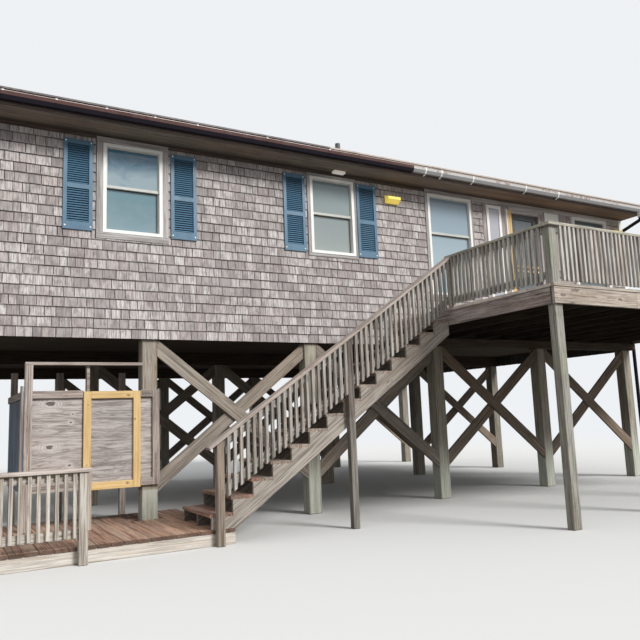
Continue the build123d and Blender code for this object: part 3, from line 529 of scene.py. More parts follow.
# Knots as (x, z, radius along x, radius up)
STALL_KNOTS = (
    (-4.922, 1.685, 0.056, 0.026),
    (-4.930, 1.155, 0.054, 0.024),
    (-4.658, 1.547, 0.012, 0.008),
    (-4.682, 1.448, 0.015, 0.012),
    (-4.692, 0.922, 0.018, 0.012),
)
PINE_KNOTS = (
    (-4.483, 1.654, 0.010, 0.010),
    (-4.494, 0.913, 0.012, 0.012),
    (-4.506, 0.792, 0.010, 0.011),
    (-3.990, 1.770, 0.028, 0.014),
    (-3.905, 1.464, 0.016, 0.018),
    (-3.998, 0.663, 0.030, 0.016),
)
FASCIA_KNOTS = (
    (0.607, 2.805, 0.075, 0.022),
    (0.382, 2.735, 0.055, 0.022),
    (1.435, 2.735, 0.045, 0.016),
)


def add_timbers():
    """Each timber's pale, dark and warm tone, then its shares of warm tone, knots, checks and so on."""
    timber(
        "pile_timber", (0.47, 0.42, 0.36), (0.20, 0.165, 0.13), (0.38, 0.29, 0.20), 0.5, 0.35, 0.8, 0.2,
        green_below=0.55,
    )
    timber(
        "mossy_pile_timber", (0.45, 0.41, 0.345), (0.19, 0.165, 0.13), (0.36, 0.29, 0.20), 0.4, 0.35, 0.8,
        0.45, green_below=0.75, green_fade=0.45,
    )
    # Darker copy of the pile timber for the middle and back rows, as painted shade under the house.
    timber("painted_shade_pile_timber", (0.36, 0.335, 0.28), (0.16, 0.14, 0.11), (0.32, 0.24, 0.17), 0.4, 0.3, 0.7)
    timber("frame_timber", (0.325, 0.285, 0.24), (0.135, 0.11, 0.09), (0.32, 0.235, 0.17), 0.45, 0.45, 0.7)
    timber(
        "shaded_frame_timber", (0.29, 0.24, 0.19), (0.115, 0.09, 0.07), (0.31, 0.21, 0.14), 0.5, 0.45, 0.7,
        gloss=0.2,
    )
    # Near-black timber for the girders and the deck's bearer, as painted shade under the floor and the deck.
    timber(
        "painted_shade_girder_timber", (0.105, 0.083, 0.064), (0.048, 0.037, 0.029), (0.12, 0.085, 0.06), 0.4, 0.2, 0.5,
        gloss=0.15,
    )
    timber("rail_timber", (0.63, 0.615, 0.585), (0.22, 0.19, 0.17), (0.45, 0.36, 0.28), 0.4, 0.5, 0.8, 0.1)
    timber(
        "deck_post_timber", (0.41, 0.40, 0.365), (0.155, 0.14, 0.12), (0.31, 0.25, 0.19), 0.45, 0.5, 0.8,
        0.45,
    )
    timber("stair_rail_timber", (0.48, 0.46, 0.43), (0.16, 0.135, 0.115), (0.37, 0.29, 0.22), 0.35, 0.5, 0.8)
    timber("newel_timber", (0.35, 0.295, 0.245), (0.12, 0.09, 0.07), (0.30, 0.21, 0.145), 0.4, 0.5, 0.8)
    timber(
        "mid_post_timber", (0.19, 0.165, 0.145), (0.065, 0.052, 0.045), (0.17, 0.125, 0.095), 0.4, 0.4, 0.8,
        gloss=0.2, green_below=1.38, green_fade=0.03, green_share=0.12,
    )
    # Darker copy of the stair timber for the stringers behind the front one, as painted shade under the
    # treads.
    timber(
        "rear_stringer_timber", (0.20, 0.175, 0.15), (0.075, 0.06, 0.05), (0.18, 0.13, 0.10), 0.4, 0.4, 0.8,
    )
    timber("walk_rail_timber", (0.66, 0.62, 0.56), (0.28, 0.23, 0.185), (0.42, 0.31, 0.22), 0.4, 0.5, 0.8)
    timber("cap_timber", (0.51, 0.48, 0.41), (0.24, 0.22, 0.175), (0.42, 0.38, 0.29), 0.35, 0.5, 0.9, 0.45)
    timber("stair_cap_timber", (0.58, 0.515, 0.47), (0.29, 0.23, 0.195), (0.50, 0.37, 0.30), 0.45, 0.5, 0.9)
    timber("stair_timber", (0.395, 0.355, 0.315), (0.17, 0.145, 0.125), (0.34, 0.265, 0.20), 0.35, 0.4, 0.7)
    timber("tread_timber", (0.46, 0.385, 0.33), (0.15, 0.115, 0.095), (0.40, 0.27, 0.20), 0.45, 0.4, 0.8)
    timber(
        "deck_timber", (0.50, 0.44, 0.38), (0.22, 0.18, 0.155), (0.44, 0.34, 0.26), 0.4, 0.5, 0.7,
        pale_below_x=deck_low.x + 0.016,
    )
    timber(
        "deck_fascia", (0.58, 0.51, 0.44), (0.26, 0.21, 0.17), (0.47, 0.37, 0.28), 0.4, 0.9, 0.9,
        placed_knots=FASCIA_KNOTS,
    )
    timber(
        "deck_side_fascia", (0.42, 0.37, 0.345), (0.12, 0.092, 0.085), (0.30, 0.20, 0.165), 0.45, 0.7, 0.9,
        0, 0.6,
    )
    # The walk's boards darken at their front ends as a painted shadow line.
    timber(
        "walk_timber", (0.50, 0.315, 0.22), (0.20, 0.10, 0.07), (0.58, 0.46, 0.36), 0.45, 0.3, 0.6, 0, 0.4,
        0.5, painted_shade_from=(walk_low.y + 0.022, walk_low.y + 0.006),
    )
    timber(
        "pale_timber", (0.80, 0.755, 0.69), (0.48, 0.43, 0.37), (0.58, 0.47, 0.37), 0.4, 0.4, 0.7, 0, 0.35,
        0.15,
    )
    timber("tread_red", (0.33, 0.20, 0.15), (0.13, 0.07, 0.05), (0.40, 0.32, 0.26), 0.4, 0.3, 0.5)
    timber("casing_timber", (0.47, 0.45, 0.44), (0.25, 0.23, 0.222), (0.36, 0.31, 0.29), 0.25, 0.2, 0.6)
    # Paler copy of the casing timber, as painted light, for the casings, frieze and entry trim right of
    # FRIEZE_START.
    timber("pale_casing_timber", (0.64, 0.61, 0.60), (0.38, 0.35, 0.345), (0.50, 0.43, 0.40), 0.25, 0.2, 0.5)
    timber(
        "wall_board_timber", (0.42, 0.38, 0.37), (0.21, 0.18, 0.175), (0.36, 0.29, 0.26), 0.3, 0.3, 0.7,
        gloss=0.2,
    )
    # The soffit darkens towards the wall as painted shade.
    timber(
        "soffit_timber", (0.29, 0.25, 0.21), (0.13, 0.11, 0.09), (0.30, 0.20, 0.13), 0.5, 0.2, 0.7,
        stain=0.5, painted_shade_from=(face_y - 0.20, face_y - 0.03), warm_from=(house_x, house_x + 3.5),
    )
    timber("soffit_timber_plain", (0.29, 0.25, 0.21), (0.13, 0.11, 0.09), (0.30, 0.20, 0.13), 0.5, 0.2)
    timber("fascia_timber", (0.14, 0.105, 0.09), (0.06, 0.042, 0.037), (0.20, 0.14, 0.11), 0.4, 0.2, 0.4)
    # Dark timber for the floor's underside, as painted shade under the house.
    timber(
        "painted_shade_under_floor", (0.16, 0.135, 0.115), (0.08, 0.065, 0.055), (0.17, 0.13, 0.10), 0.5, 0.15, 0.3,
        gloss=0.1,
    )
    # Near-black timber for the deck's ledger and joists, as painted shade under the deck.
    timber(
        "painted_shade_under_deck", (0.070, 0.058, 0.047), (0.022, 0.018, 0.015), (0.075, 0.055, 0.040), 0.4, 0.2, 0.5,
        gloss=0.15,
    )
    timber(
        "new_pine", (0.70, 0.50, 0.235), (0.55, 0.355, 0.14), (0.80, 0.60, 0.32), 0.4, 0.4, 0.1, 0, 0.1,
        0.12, 0.6, placed_knots=PINE_KNOTS,
    )
    timber("shower_timber", (0.45, 0.395, 0.36), (0.17, 0.135, 0.12), (0.38, 0.28, 0.23), 0.4, 0.5, 0.8)


def add_finishes():
    """Every material but the timbers."""
    shingle_finish("wall_shingle")
    roof_finish("roof_shingle")
    glass_finish("window_glass")
    plywood_finish(
        "plywood_front", (0.55, 0.505, 0.48), (0.25, 0.215, 0.195), (2, 2, 24), (0.41, 0.34, 0.29),
        STALL_KNOTS,
    )
    plywood_finish("plywood_door", (0.49, 0.455, 0.44), (0.215, 0.19, 0.175), (2, 2, 24), (0.36, 0.31, 0.27))
    # Darker, bluer copy of the plywood for the stall's left side sheet, as painted shade.
    plywood_finish(
        "plywood_side", (0.20, 0.24, 0.30), (0.09, 0.115, 0.155), (6, 6, 0.8), (0.15, 0.18, 0.225),
        gloss=0.08,
    )
    painted("wall_sheath", (0.055, 0.047, 0.044), 0.9)
    painted("white_trim", (0.87, 0.87, 0.85), 0.5, dirt_share=0.08)
    painted("sash_vinyl", (0.55, 0.56, 0.52), 0.5, dirt_share=0.3)
    # Dark strips on the front's lower panes: painted shadow at the head, the screen's frame at the right
    # side.
    painted("shadow_and_screen_edge", (0.05, 0.05, 0.05), 0.6, dirt_share=0)
    painted("shutter_blue", (0.072, 0.165, 0.255), 0.42, (0.05, 0.10, 0.155), 0.5)
    painted("light_yellow", (1.0, 0.78, 0.16), 0.35, (0.9, 0.50, 0.06), 0.45, glow=0.35)
    painted("soffit_lamp", (0.92, 0.88, 0.80), 0.4, dirt_share=0.1, glow=0.25)
    painted("lamp_rim", (0.16, 0.10, 0.05), 0.5)
    # Pale pink lip board of the brown gutter, a painted highlight.
    painted("gutter_lip", (0.50, 0.39, 0.37), 0.35, (0.25, 0.15, 0.14), 0.6)
    painted("drip_edge_dark", (0.09, 0.07, 0.07), 0.5)
    painted("drip_edge_tan", (0.50, 0.42, 0.36), 0.5, (0.30, 0.22, 0.19), 0.6)
    painted("vent_plastic", (0.09, 0.09, 0.095), 0.5, dirt_share=0.2)
    painted("door_paint", (0.060, 0.058, 0.060), 0.5, (0.11, 0.10, 0.10))
    # Below the gutters' waist, the darker colours are painted shade on their lower faces.
    metal_paint(
        "gutter_brown", (0.100, 0.052, 0.048), 0.35, (0.06, 0.030, 0.025), 0.6, gutter_waist,
        (0.012, 0.013, 0.022), 0.12,
    )
    metal_paint(
        "gutter_grey", (0.50, 0.48, 0.47), 0.8, (0.22, 0.13, 0.10), painted_shade_below_z=gutter_waist,
        painted_shade_colour=(0.30, 0.305, 0.315),
    )
    metal_paint("hinge_steel", (0.42, 0.42, 0.42), 0.4)


# Boards and other pieces gathered into one mesh
STUD_SIDES = 8
GRAIN_SHIFT = 40


def sway(chance, amount=0.0015):
    """Small error of hand-set work."""
    return chance.uniform(-amount, amount)


def own_look(chance):
    """Random shift of one piece's grain, then its tone and its hue."""
    return [chance.uniform(0, GRAIN_SHIFT) for _ in range(3)], chance.random(), chance.random()


def grain_at(point, ways, shift):
    """Place of a point in a piece's own grain."""
    return tuple(point.dot(way) + move for way, move in zip(ways, shift))


def box_from(x, y, z):
    """Low and high corner of a box from its pairs of places along the three axes."""
    return tuple(map(Vector, zip(x, y, z)))


def end_bands(pair, wide):
    """The two bands of one width at the ends of a pair of places."""
    return (pair[0], pair[0] + wide), (pair[1] - wide, pair[1])


class Stack:
    """Pieces of one kind in one mesh, each with grain, tone and hue for its material."""

    def __init__(self, seed):
        self.points, self.faces, self.kinds = [], [], []
        self.grain, self.tone, self.hue = [], [], []
        self.chance = random.Random(seed)

    def add(self, points, faces, along, across, kind=0):
        """One piece from its points and faces. along is its grain, and across a direction beside it."""
        along, across = along.normalized(), across.normalized()
        ways = along, across, along.cross(across)
        shift, tone, hue = own_look(self.chance)
        first = len(self.points)
        self.points += [tuple(p) for p in points]
        self.faces += [tuple(first + i for i in f) for f in faces]
        self.kinds += [kind] * len(faces)
        self.grain += [grain_at(p, ways, shift) for p in points]
        self.tone += [tone] * len(points)
        self.hue += [hue] * len(points)

    def board(self, a, b, wide, thick, wide_way, edge=0.003, cut_a=None, cut_b=None, kind=0):
        """Board from a to b along its middle line, with eased edges. A cut is the normal of a slanted end."""
        along = (b - a).normalized()
        side = (wide_way - along * wide_way.dot(along)).normalized()
        flat = along.cross(side)
        w, t = wide / 2, thick / 2
        e = min(edge, w * 0.4, t * 0.4)
        outline = [(-w + e, -t), (w - e, -t), (w, -t + e), (w, t - e)]
        outline += [(-u, -v) for u, v in outline]
        points = []
        for end, cut in ((a, cut_a), (b, cut_b)):
            for u, v in outline:
                off = side * u + flat * v
                slide = 0 if cut is None else -off.dot(cut) / along.dot(cut)
                points.append(end + off + along * slide)
        count = len(outline)
        faces = [(i, (i + 1) % count, count + (i + 1) % count, count + i) for i in range(count)]
        faces += [tuple(reversed(range(count))), tuple(range(count, 2 * count))]
        self.add(points, faces, along, side, kind)

    def block(self, low, high, along="X", edge=0.003, kind=0):
        """Upright box between two corners, with its grain along one axis."""
        axis, wide_way = {"X": (X, Z), "Y": (Y, X), "Z": (Z, X)}[along]
        mid, size = (low + high) / 2, high - low
        reach = axis * size.dot(axis) / 2
        thick = abs(size.dot(axis.cross(wide_way)))
        self.board(mid - reach, mid + reach, abs(size.dot(wide_way)), thick, wide_way, edge, kind=kind)

    def box(self, x, y, z, along="X", edge=0.003, kind=0):
        """Block from its pairs of places along the three axes."""
        self.block(*box_from(x, y, z), along, edge, kind)

    def stud(self, centre, radius, height, kind=0):
        """Low round head, such as a screw's or a bolt's, that stands out to the front."""
        count = STUD_SIDES
        points = []
        for share, lift in ((1, 0), (1, height * 0.5), (0.6, height)):
            for i in range(count):
                turn = 2 * math.pi * i / count
                spoke = -X * math.cos(turn) - Z * math.sin(turn)
                points.append(centre + spoke * (radius * share) - Y * lift)
        faces = []
        for ring in (0, count):
            for i in range(count):
                j = (i + 1) % count
                faces.append((ring + i, ring + j, ring + count + j, ring + count + i))
        faces.append(tuple(range(2 * count, 3 * count)))
        self.add(points, faces, -X, -Z, kind)

    def piece(self, name, materials, body="house", stands_for=()):
        """Object of everything gathered, riding on a body."""
        mesh = bpy.data.meshes.new(name)
        mesh.from_pydata(self.points, [], self.faces)
        for key, values, kind, field in (
            ("grain", self.grain, "FLOAT_VECTOR", "vector"),
            ("tone", self.tone, "FLOAT", "value"),
            ("hue", self.hue, "FLOAT", "value"),
        ):
            layer = mesh.attributes.new(key, kind, "POINT")
            layer.data.foreach_set(field, np.array(values, np.float32).ravel())
        mesh.polygons.foreach_set("material_index", np.array(self.kinds, np.int32))
        bm = bmesh.new()
        bm.from_mesh(mesh)
        bmesh.ops.recalc_face_normals(bm, faces=bm.faces)
        return settle(bm, mesh, name, materials, body, stands_for)


def settle(bm, mesh, name, materials, body="house", stands_for=()):
    """Object of a finished bmesh, riding on its body and the nodes that it stands for.

    materials are names in MAT, apart by spaces.
    """
    for material in materials.split():
        mesh.materials.append(MAT[material])
    bm.to_mesh(mesh)
    bm.free()
    obj = show(name, mesh)
    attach(obj, body)
    if stands_for:
        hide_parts(*stands_for)
    return obj


def dress(name, node, materials, seed, edge=0.003, axis=None, pick=None):
    """Copy of a CAD node with eased edges and its own grain and tone on each solid, in the node's place.

    pick gives the number of a solid's material from the low and high corners of its box.
    """
    chance = random.Random(seed)
    bm = welded(node)
    bmesh.ops.dissolve_limit(bm, angle_limit=math.radians(1), verts=bm.verts, edges=bm.edges)
    sharp = [e for e in bm.edges if len(e.link_faces) == 2 and e.calc_face_angle() > math.radians(20)]
    bmesh.ops.bevel(bm, geom=sharp, offset=edge, segments=1, affect="EDGES", clamp_overlap=True)
    grain = bm.verts.layers.float_vector.new("grain")
    tone = bm.verts.layers.float.new("tone")
    hue = bm.verts.layers.float.new("hue")
    for face in bm.faces:
        face.material_index = 0
    for island in islands(bm):
        edges = dict.fromkeys(e for v in island for e in v.link_edges)
        longest = max(edges, key=lambda e: e.calc_length())
        along = axis or (longest.verts[1].co - longest.verts[0].co).normalized()
        across = along.cross(Z) if abs(along.z) < 0.9 else along.cross(X)
        across.normalize()
        ways = along, across, along.cross(across)
        shift, own_tone, own_hue = own_look(chance)
        for v in island:
            v[grain] = grain_at(v.co, ways, shift)
            v[tone] = own_tone
            v[hue] = own_hue
        if pick:
            kind = pick(*corners(island))
            for face in {f for v in island for f in v.link_faces}:
                face.material_index = kind
    return settle(bm, bpy.data.meshes.new(name), name, materials, stands_for=(node,))


# Wall shingles
SHINGLE_BUTT = 0.014
SHINGLE_TOP = 0.003
SHINGLE_WIDTHS = (0.075, 0.195)
SHINGLE_GAP = (0.005, 0.011)
SHINGLE_DROP = (-0.009, 0.006)
SHINGLE_LEAN = 0.0025
BUTT_ERROR = (-0.002, 0.001)
LEAST_WIDTH = 0.05
LEAST_HEIGHT = 0.012
COURSE_LAP = 0.014
CORNER_BOARD_W = 0.095
FRIEZE_START = house_x + 1.1
FRIEZE_H = (0.05, 0.08)
FRIEZE_T = 0.02
ENTRY_BAR = 0.060
PANEL_X = (house_x + 2.42, house_x + 4.68)
PANEL_T = 0.012


def clip(points, normal, limit):
    """Part of a convex outline of (s, z) points where s * normal[0] + z * normal[1] <= limit."""
    kept = []
    for i, p in enumerate(points):
        q = points[(i + 1) % len(points)]
        dp, dq = (c[0] * normal[0] + c[1] * normal[1] - limit for c in (p, q))
        if dp <= 0:
            kept.append(p)
        if dp * dq < 0:
            share = dp / (dp - dq)
            kept.append((p[0] + (q[0] - p[0]) * share, p[1] + (q[1] - p[1]) * share))
    return kept


def free_strips(s0, s1, z0, z1, blocks):
    """Rectangles of a course that no opening or fitting covers."""
    cuts = sorted({s0, s1} | {s for b in blocks for s in b[:2] if s0 < s < s1})
    strips = []
    for a, b in zip(cuts, cuts[1:]):
        free = [(z0, z1)]
        for c0, c1, low, high in blocks:
            if c0 < (a + b) / 2 < c1:
                parts = [part for f0, f1 in free for part in ((f0, min(f1, low)), (max(f0, high), f1))]
                free = [part for part in parts if part[0] < part[1]]
        for f0, f1 in free:
            if f1 - f0 < LEAST_HEIGHT:
                continue
            if strips and strips[-1][1] == a and strips[-1][2:] == (f0, f1):
                strips[-1] = (strips[-1][0], b, f0, f1)
            else:
                strips.append((a, b, f0, f1))
    return strips


def shingle_wall(name, origin, right, outward, length, blocks, gable, seed):
    """Courses of wedge-shaped shingles over one wall.

    s runs from 0 to length along the wall. blocks are (s0, s1, z0, z1) places left free.
    A gable's courses go on up to the roof, cut along its two slopes.
    """
    stack = Stack(seed)
    chance = stack.chance
    peak = ROOF_UNDER + ROOF_SLOPE * length / 2 if gable else eave_z
    for row in range(math.ceil((peak - wall_foot) / COURSE - 0.01)):
        z0 = wall_foot + row * COURSE
        z1 = min(z0 + COURSE + COURSE_LAP, peak)
        for s, end, foot, top in free_strips(0, length, z0, z1, blocks):
            while s < end - 0.01:
                width = chance.uniform(*SHINGLE_WIDTHS)
                stop = end if end - (s + width) < LEAST_WIDTH else s + width
                gap = chance.uniform(*SHINGLE_GAP)
                drop = chance.uniform(*SHINGLE_DROP) if foot == z0 and row else 0
                lean = sway(chance, SHINGLE_LEAN)
                low = foot + drop
                shape = [(s, low - lean), (stop - gap, low + lean), (stop - gap, top), (s, top)]
                if gable:
                    shape = clip(shape, (-ROOF_SLOPE, 1), ROOF_UNDER)
                    shape = clip(shape, (ROOF_SLOPE, 1), ROOF_UNDER + ROOF_SLOPE * length)
                if len(shape) >= 3:
                    add_shingle(stack, shape, z0, origin, right, outward)
                s = stop
    return stack.piece(name, "wall_shingle")


def add_shingle(stack, shape, z0, origin, right, outward):
    """One wedge whose butt stands out from the wall."""
    butt = SHINGLE_BUTT + stack.chance.uniform(*BUTT_ERROR)
    count = len(shape)
    front, back = [], []
    for s, z in shape:
        share = min(max((z - z0) / (COURSE + COURSE_LAP), 0), 1)
        base = origin + right * s + Z * z
        front.append(base + outward * (butt + (SHINGLE_TOP - butt) * share))
        back.append(base + outward * 0.0005)
    faces = [tuple(range(count))]
    faces += [(i, count + i, count + (i + 1) % count, (i + 1) % count) for i in range(count)]
    stack.add(front + back, faces, Z, right)


def wall_blocks(origin, right, boxes, grow=0.0):
    """Boxes of pieces on a wall as (s0, s1, z0, z1) places."""
    places = []
    for low, high in boxes:
        s0, s1 = sorted(((low - origin).dot(right), (high - origin).dot(right)))
        places.append((s0 - grow, s1 + grow, low.z - grow, high.z + grow))
    return places


def on_wall(boxes, outward, plane):
    """Boxes that lie on a wall whose face is at a distance along its outward direction."""
    near = []
    for box in boxes:
        inner, reach = sorted(corner.dot(outward) for corner in box)
        if reach > plane - 0.002 and inner < plane + 0.05:
            near.append(box)
    return near


def front_sidelight():
    """Box of the frame of the narrow window beside the entry."""
    return [b for b in spans("window_frames") if b[1].x - b[0].x < 0.5 and b[0].y < face_y][0]


def entry_boards():
    """Boards round the entry as (low, high, kind).

    The kinds are 0 grey casing, 1 white primed board, 2 new yellow board and 3 darker wall board.
    """
    low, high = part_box("entry_jambs")
    light_low, light_high = front_sidelight()
    inner_left, inner_right = low.x + ENTRY_BAR, high.x - ENTRY_BAR
    front, face = low.y, face_y + 0.001
    deep, tall = (front, high.y), (low.z, high.z)
    trim_left, trim_right = low.x - 0.070, high.x + 0.072
    boards = [
        ((low.x, inner_left), deep, tall, 2),
        ((inner_right, high.x), deep, tall, 3),
        ((inner_left, inner_right), deep, (high.z - ENTRY_BAR, high.z), 0),
        ((low.x - 0.034, low.x - 0.001), (front, face), (low.z, high.z - 0.01), 2),
        ((low.x - 0.068, low.x - 0.036), (front + 0.004, face), tall, 1),
        ((high.x + 0.001, high.x + 0.07), (front + 0.006, face), tall, 3),
        ((low.x, high.x + 0.07), (front + 0.006, face), (high.z + 0.001, high.z + 0.05), 0),
    ]
    for x0, x1, foot in (
        (PANEL_X[0], light_low.x - 0.002, deck_high.z),
        (light_low.x, light_high.x, light_high.z + 0.002),
        (light_high.x + 0.002, trim_left, deck_high.z),
        (trim_left + 0.002, trim_right - 0.002, high.z + 0.053),
        (trim_right, PANEL_X[1], deck_high.z),
    ):
        boards.append(((x0, x1), (face_y - PANEL_T, face), (foot, eave_z - FRIEZE_H[1] - 0.002), 3))
    return [(*box_from(x, y, z), kind) for x, y, z, kind in boards]


def add_shingles():
    """Shingles on all four walls, cut round the openings and fittings, and the boards below the eave."""
    casings = spans("window_casings")
    entry = entry_boards()
    for side, origin, right, outward, length, seed in (
        ("front", at(-half_len, 0, 0), X, -Y, 2 * half_len, 21),
        ("back", at(half_len, house_depth, 0), -X, Y, 2 * half_len, 22),
        ("left", at(-half_len, house_depth, 0), -Y, -X, house_depth, 23),
        ("right", at(half_len, 0, 0), Y, X, house_depth, 24),
    ):
        blocks = wall_blocks(origin, right, on_wall(casings, outward, origin.dot(outward)))
        blocks.append((-1, CORNER_BOARD_W, wall_foot, eave_z))
        blocks.append((length - CORNER_BOARD_W, length + 1, wall_foot, eave_z))
        if side == "front":
            fittings = [b[:2] for b in entry]
            fittings += [front_sidelight(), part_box("entry_jambs"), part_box("sign_board")]
            frieze_s = FRIEZE_START - origin.x
            blocks += wall_blocks(origin, right, fittings)
            blocks += wall_blocks(origin, right, spans("shutters") + spans("wall_lights"), -0.01)
            blocks.append((deck_low.x - origin.x, length + 1, 0, deck_high.z))
            blocks.append((0, frieze_s, eave_z - FRIEZE_H[0], eave_z))
            blocks.append((frieze_s, length, eave_z - FRIEZE_H[1], eave_z))
        gable = side in ("left", "right")
        shingle_wall(side + "_shingles", origin, right, outward, length, blocks, gable, seed)
    stack = Stack(25)
    inset = half_len - CORNER_BOARD_W
    # The left run is dark fascia timber, in part the board's own colour and in part painted shade under the
    # soffit.
    runs = ((house_x - inset, FRIEZE_START, FRIEZE_H[0], 1), (FRIEZE_START, house_x + inset, FRIEZE_H[1], 0))
    for x0, x1, tall, kind in runs:
        across, up = (face_y - FRIEZE_T, face_y + 0.001), (eave_z - tall, eave_z)
        stack.box((x0 + 0.001, x1 - 0.001), across, up, kind=kind)
    stack.piece("eave_frieze", "pale_casing_timber fascia_timber")
    stack = Stack(26)
    for low, high, kind in entry:
        stack.block(low, high, "Z" if high.z - low.z > high.x - low.x else "X", kind=kind)
    materials = "pale_casing_timber white_trim new_pine wall_board_timber"
    stack.piece("entry_trim", materials, stands_for=("entry_jambs",))


# Roof covering
TAB_EXPOSURE = 0.14
TAB_WIDTH = 0.30
TAB_T = 0.005
TAB_GAP = 0.002
TAB_LAP = 0.02
RIDGE_CAP_L = 0.3
RIDGE_CAP_W = 0.15
RIDGE_FLAT = 0.045
RIDGE_LIFTS = (0.020, 0.012)


def add_roof():
    """Rows of roof shingle tabs on both slopes, with ridge caps."""
    stack = Stack(31)
    angle = math.atan(ROOF_SLOPE)
    run = house_depth / 2 + EAVE_REACH
    length = run / math.cos(angle)
    rows = int(length / TAB_EXPOSURE)
    exposure = length / rows
    eave_top = soffit_top + ROOF_THICK
    for sign, edge_y in ((1, -EAVE_REACH), (-1, house_depth + EAVE_REACH)):
        up = Vector((0, sign * math.cos(angle), math.sin(angle)))
        out = Vector((0, -sign * math.sin(angle), math.cos(angle)))
        for row in range(rows):
            base = at(0, edge_y, eave_top) + up * (row * exposure)
            reach = up * (exposure + (TAB_LAP if row < rows - 1 else -TAB_LAP))
            shift = (row % 2) * TAB_WIDTH / 2
            x = -half_len
            while x < half_len - 0.01:
                stop = min(half_len, (math.floor((x - shift) / TAB_WIDTH + 1e-6) + 1) * TAB_WIDTH + shift)
                a, b = base + X * (x + TAB_GAP), base + X * (stop - TAB_GAP)
                points = [a + out * TAB_T, b + out * TAB_T]
                points += [b + reach + out * 0.001, a + reach + out * 0.001, a, b]
                stack.add(points, [(0, 1, 2, 3), (4, 5, 1, 0)], up, X)
                x = stop
    ridge = at(0, house_depth / 2, eave_top + run * ROOF_SLOPE)
    x = -half_len
    while x < half_len - 0.01:
        stop = min(half_len, x + RIDGE_CAP_L)
        points = []
        for px, lift in zip((x, stop), RIDGE_LIFTS):
            for y in (-RIDGE_CAP_W, -RIDGE_FLAT, RIDGE_FLAT, RIDGE_CAP_W):
                drop = 0 if abs(y) == RIDGE_FLAT else lift - RIDGE_CAP_W * ROOF_SLOPE
                points.append(ridge + X * px + Y * y + Z * drop)
        stack.add(points, [(i, i + 1, i + 5, i + 4) for i in range(3)], X, Y)
        x = stop
    stack.piece("roof_covering", "roof_shingle")


# Railings
BALUSTER = 0.038
RAIL_T = 0.038
RAIL_H = 0.089
BALUSTER_PITCH = 0.0805
BALUSTER_FOOT = 0.040
BALUSTER_ERROR = 0.004
LOWER_RAIL_FOOT = 0.075


def at_height(place, z):
    """Point above a place."""
    return Vector((place.x, place.y, z))


def level_rail(stack, a, b, out, foot, top, pitch, baluster_low):
    """Level railing panel from a to b: two rails, and balusters on the side that out points to."""
    along = (b - a).normalized()
    length = (b - a).length
    inner = -out * RAIL_T / 2
    for z in (foot, top - RAIL_H):
        mid = z + RAIL_H / 2
        stack.board(at_height(a, mid) + inner, at_height(b, mid) + inner, RAIL_H, RAIL_T, Z)
    count = round(length / pitch)
    step = length / count
    for i in range(count):
        place = a + along * ((i + 0.5) * step + sway(stack.chance)) + out * BALUSTER / 2
        low = at_height(place, baluster_low + sway(stack.chance, BALUSTER_ERROR))
        low += along * sway(stack.chance)
        stack.board(low, at_height(place, top), BALUSTER - 0.001, BALUSTER, along, 0.002)


def add_deck_railings():
    """Balusters and rails of the deck's front and two sides."""
    posts = spans("deck_posts")
    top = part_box("deck_front_railing")[1].z
    heights = deck_high.z + LOWER_RAIL_FOOT, top, BALUSTER_PITCH, deck_high.z + BALUSTER_FOOT
    line_y = posts[0][0].y
    stack = Stack(41)
    for left, right in zip(posts, posts[1:]):
        level_rail(stack, Vector((left[1].x, line_y, 0)), Vector((right[0].x, line_y, 0)), -Y, *heights)
    stack.piece("deck_front_rails", "rail_timber", stands_for=("deck_front_railing",))
    stack = Stack(42)
    for (low, high), out in zip(spans("deck_side_railings"), (-X, X)):
        x = low.x + BALUSTER if out == -X else high.x - BALUSTER
        level_rail(stack, Vector((x, low.y, 0)), Vector((x, high.y, 0)), out, *heights)
    stack.piece("deck_side_rails", "rail_timber", stands_for=("deck_side_railings",))


# Stair
LOWER_RAIL_DROP = 0.628
BALUSTER_DROP = 0.665
LAST_BALUSTER = 0.012
RED_BOARDS = 5
TREAD_GAP = 0.002

# Posts from left to right, each with the number of its material
POSTS = {"walk_left": 2, "walk_right": 2, "newel": 3, "stair_mid": 1, "stair_head": 0, "deck_wall": 0}


def post_spans():
    """Posts of the railings by name, from left to right."""
    return dict(zip(POSTS, spans("railing_posts")))


def post_kind(low, high):
    """Material's number of the post at a place."""
    return next(POSTS[name] for name, post in post_spans().items() if abs(post[0].x - low.x) < 0.02)


def stair_rail_line():
    """Slope of the stair's cap, and its underside's height as a function of x."""
    posts = post_spans()
    newel, mid = posts["newel"][1], posts["stair_mid"][1]
    slope = (mid.z - newel.z) / (mid.x - newel.x)
    return slope, lambda x: newel.z + (x - newel.x) * slope


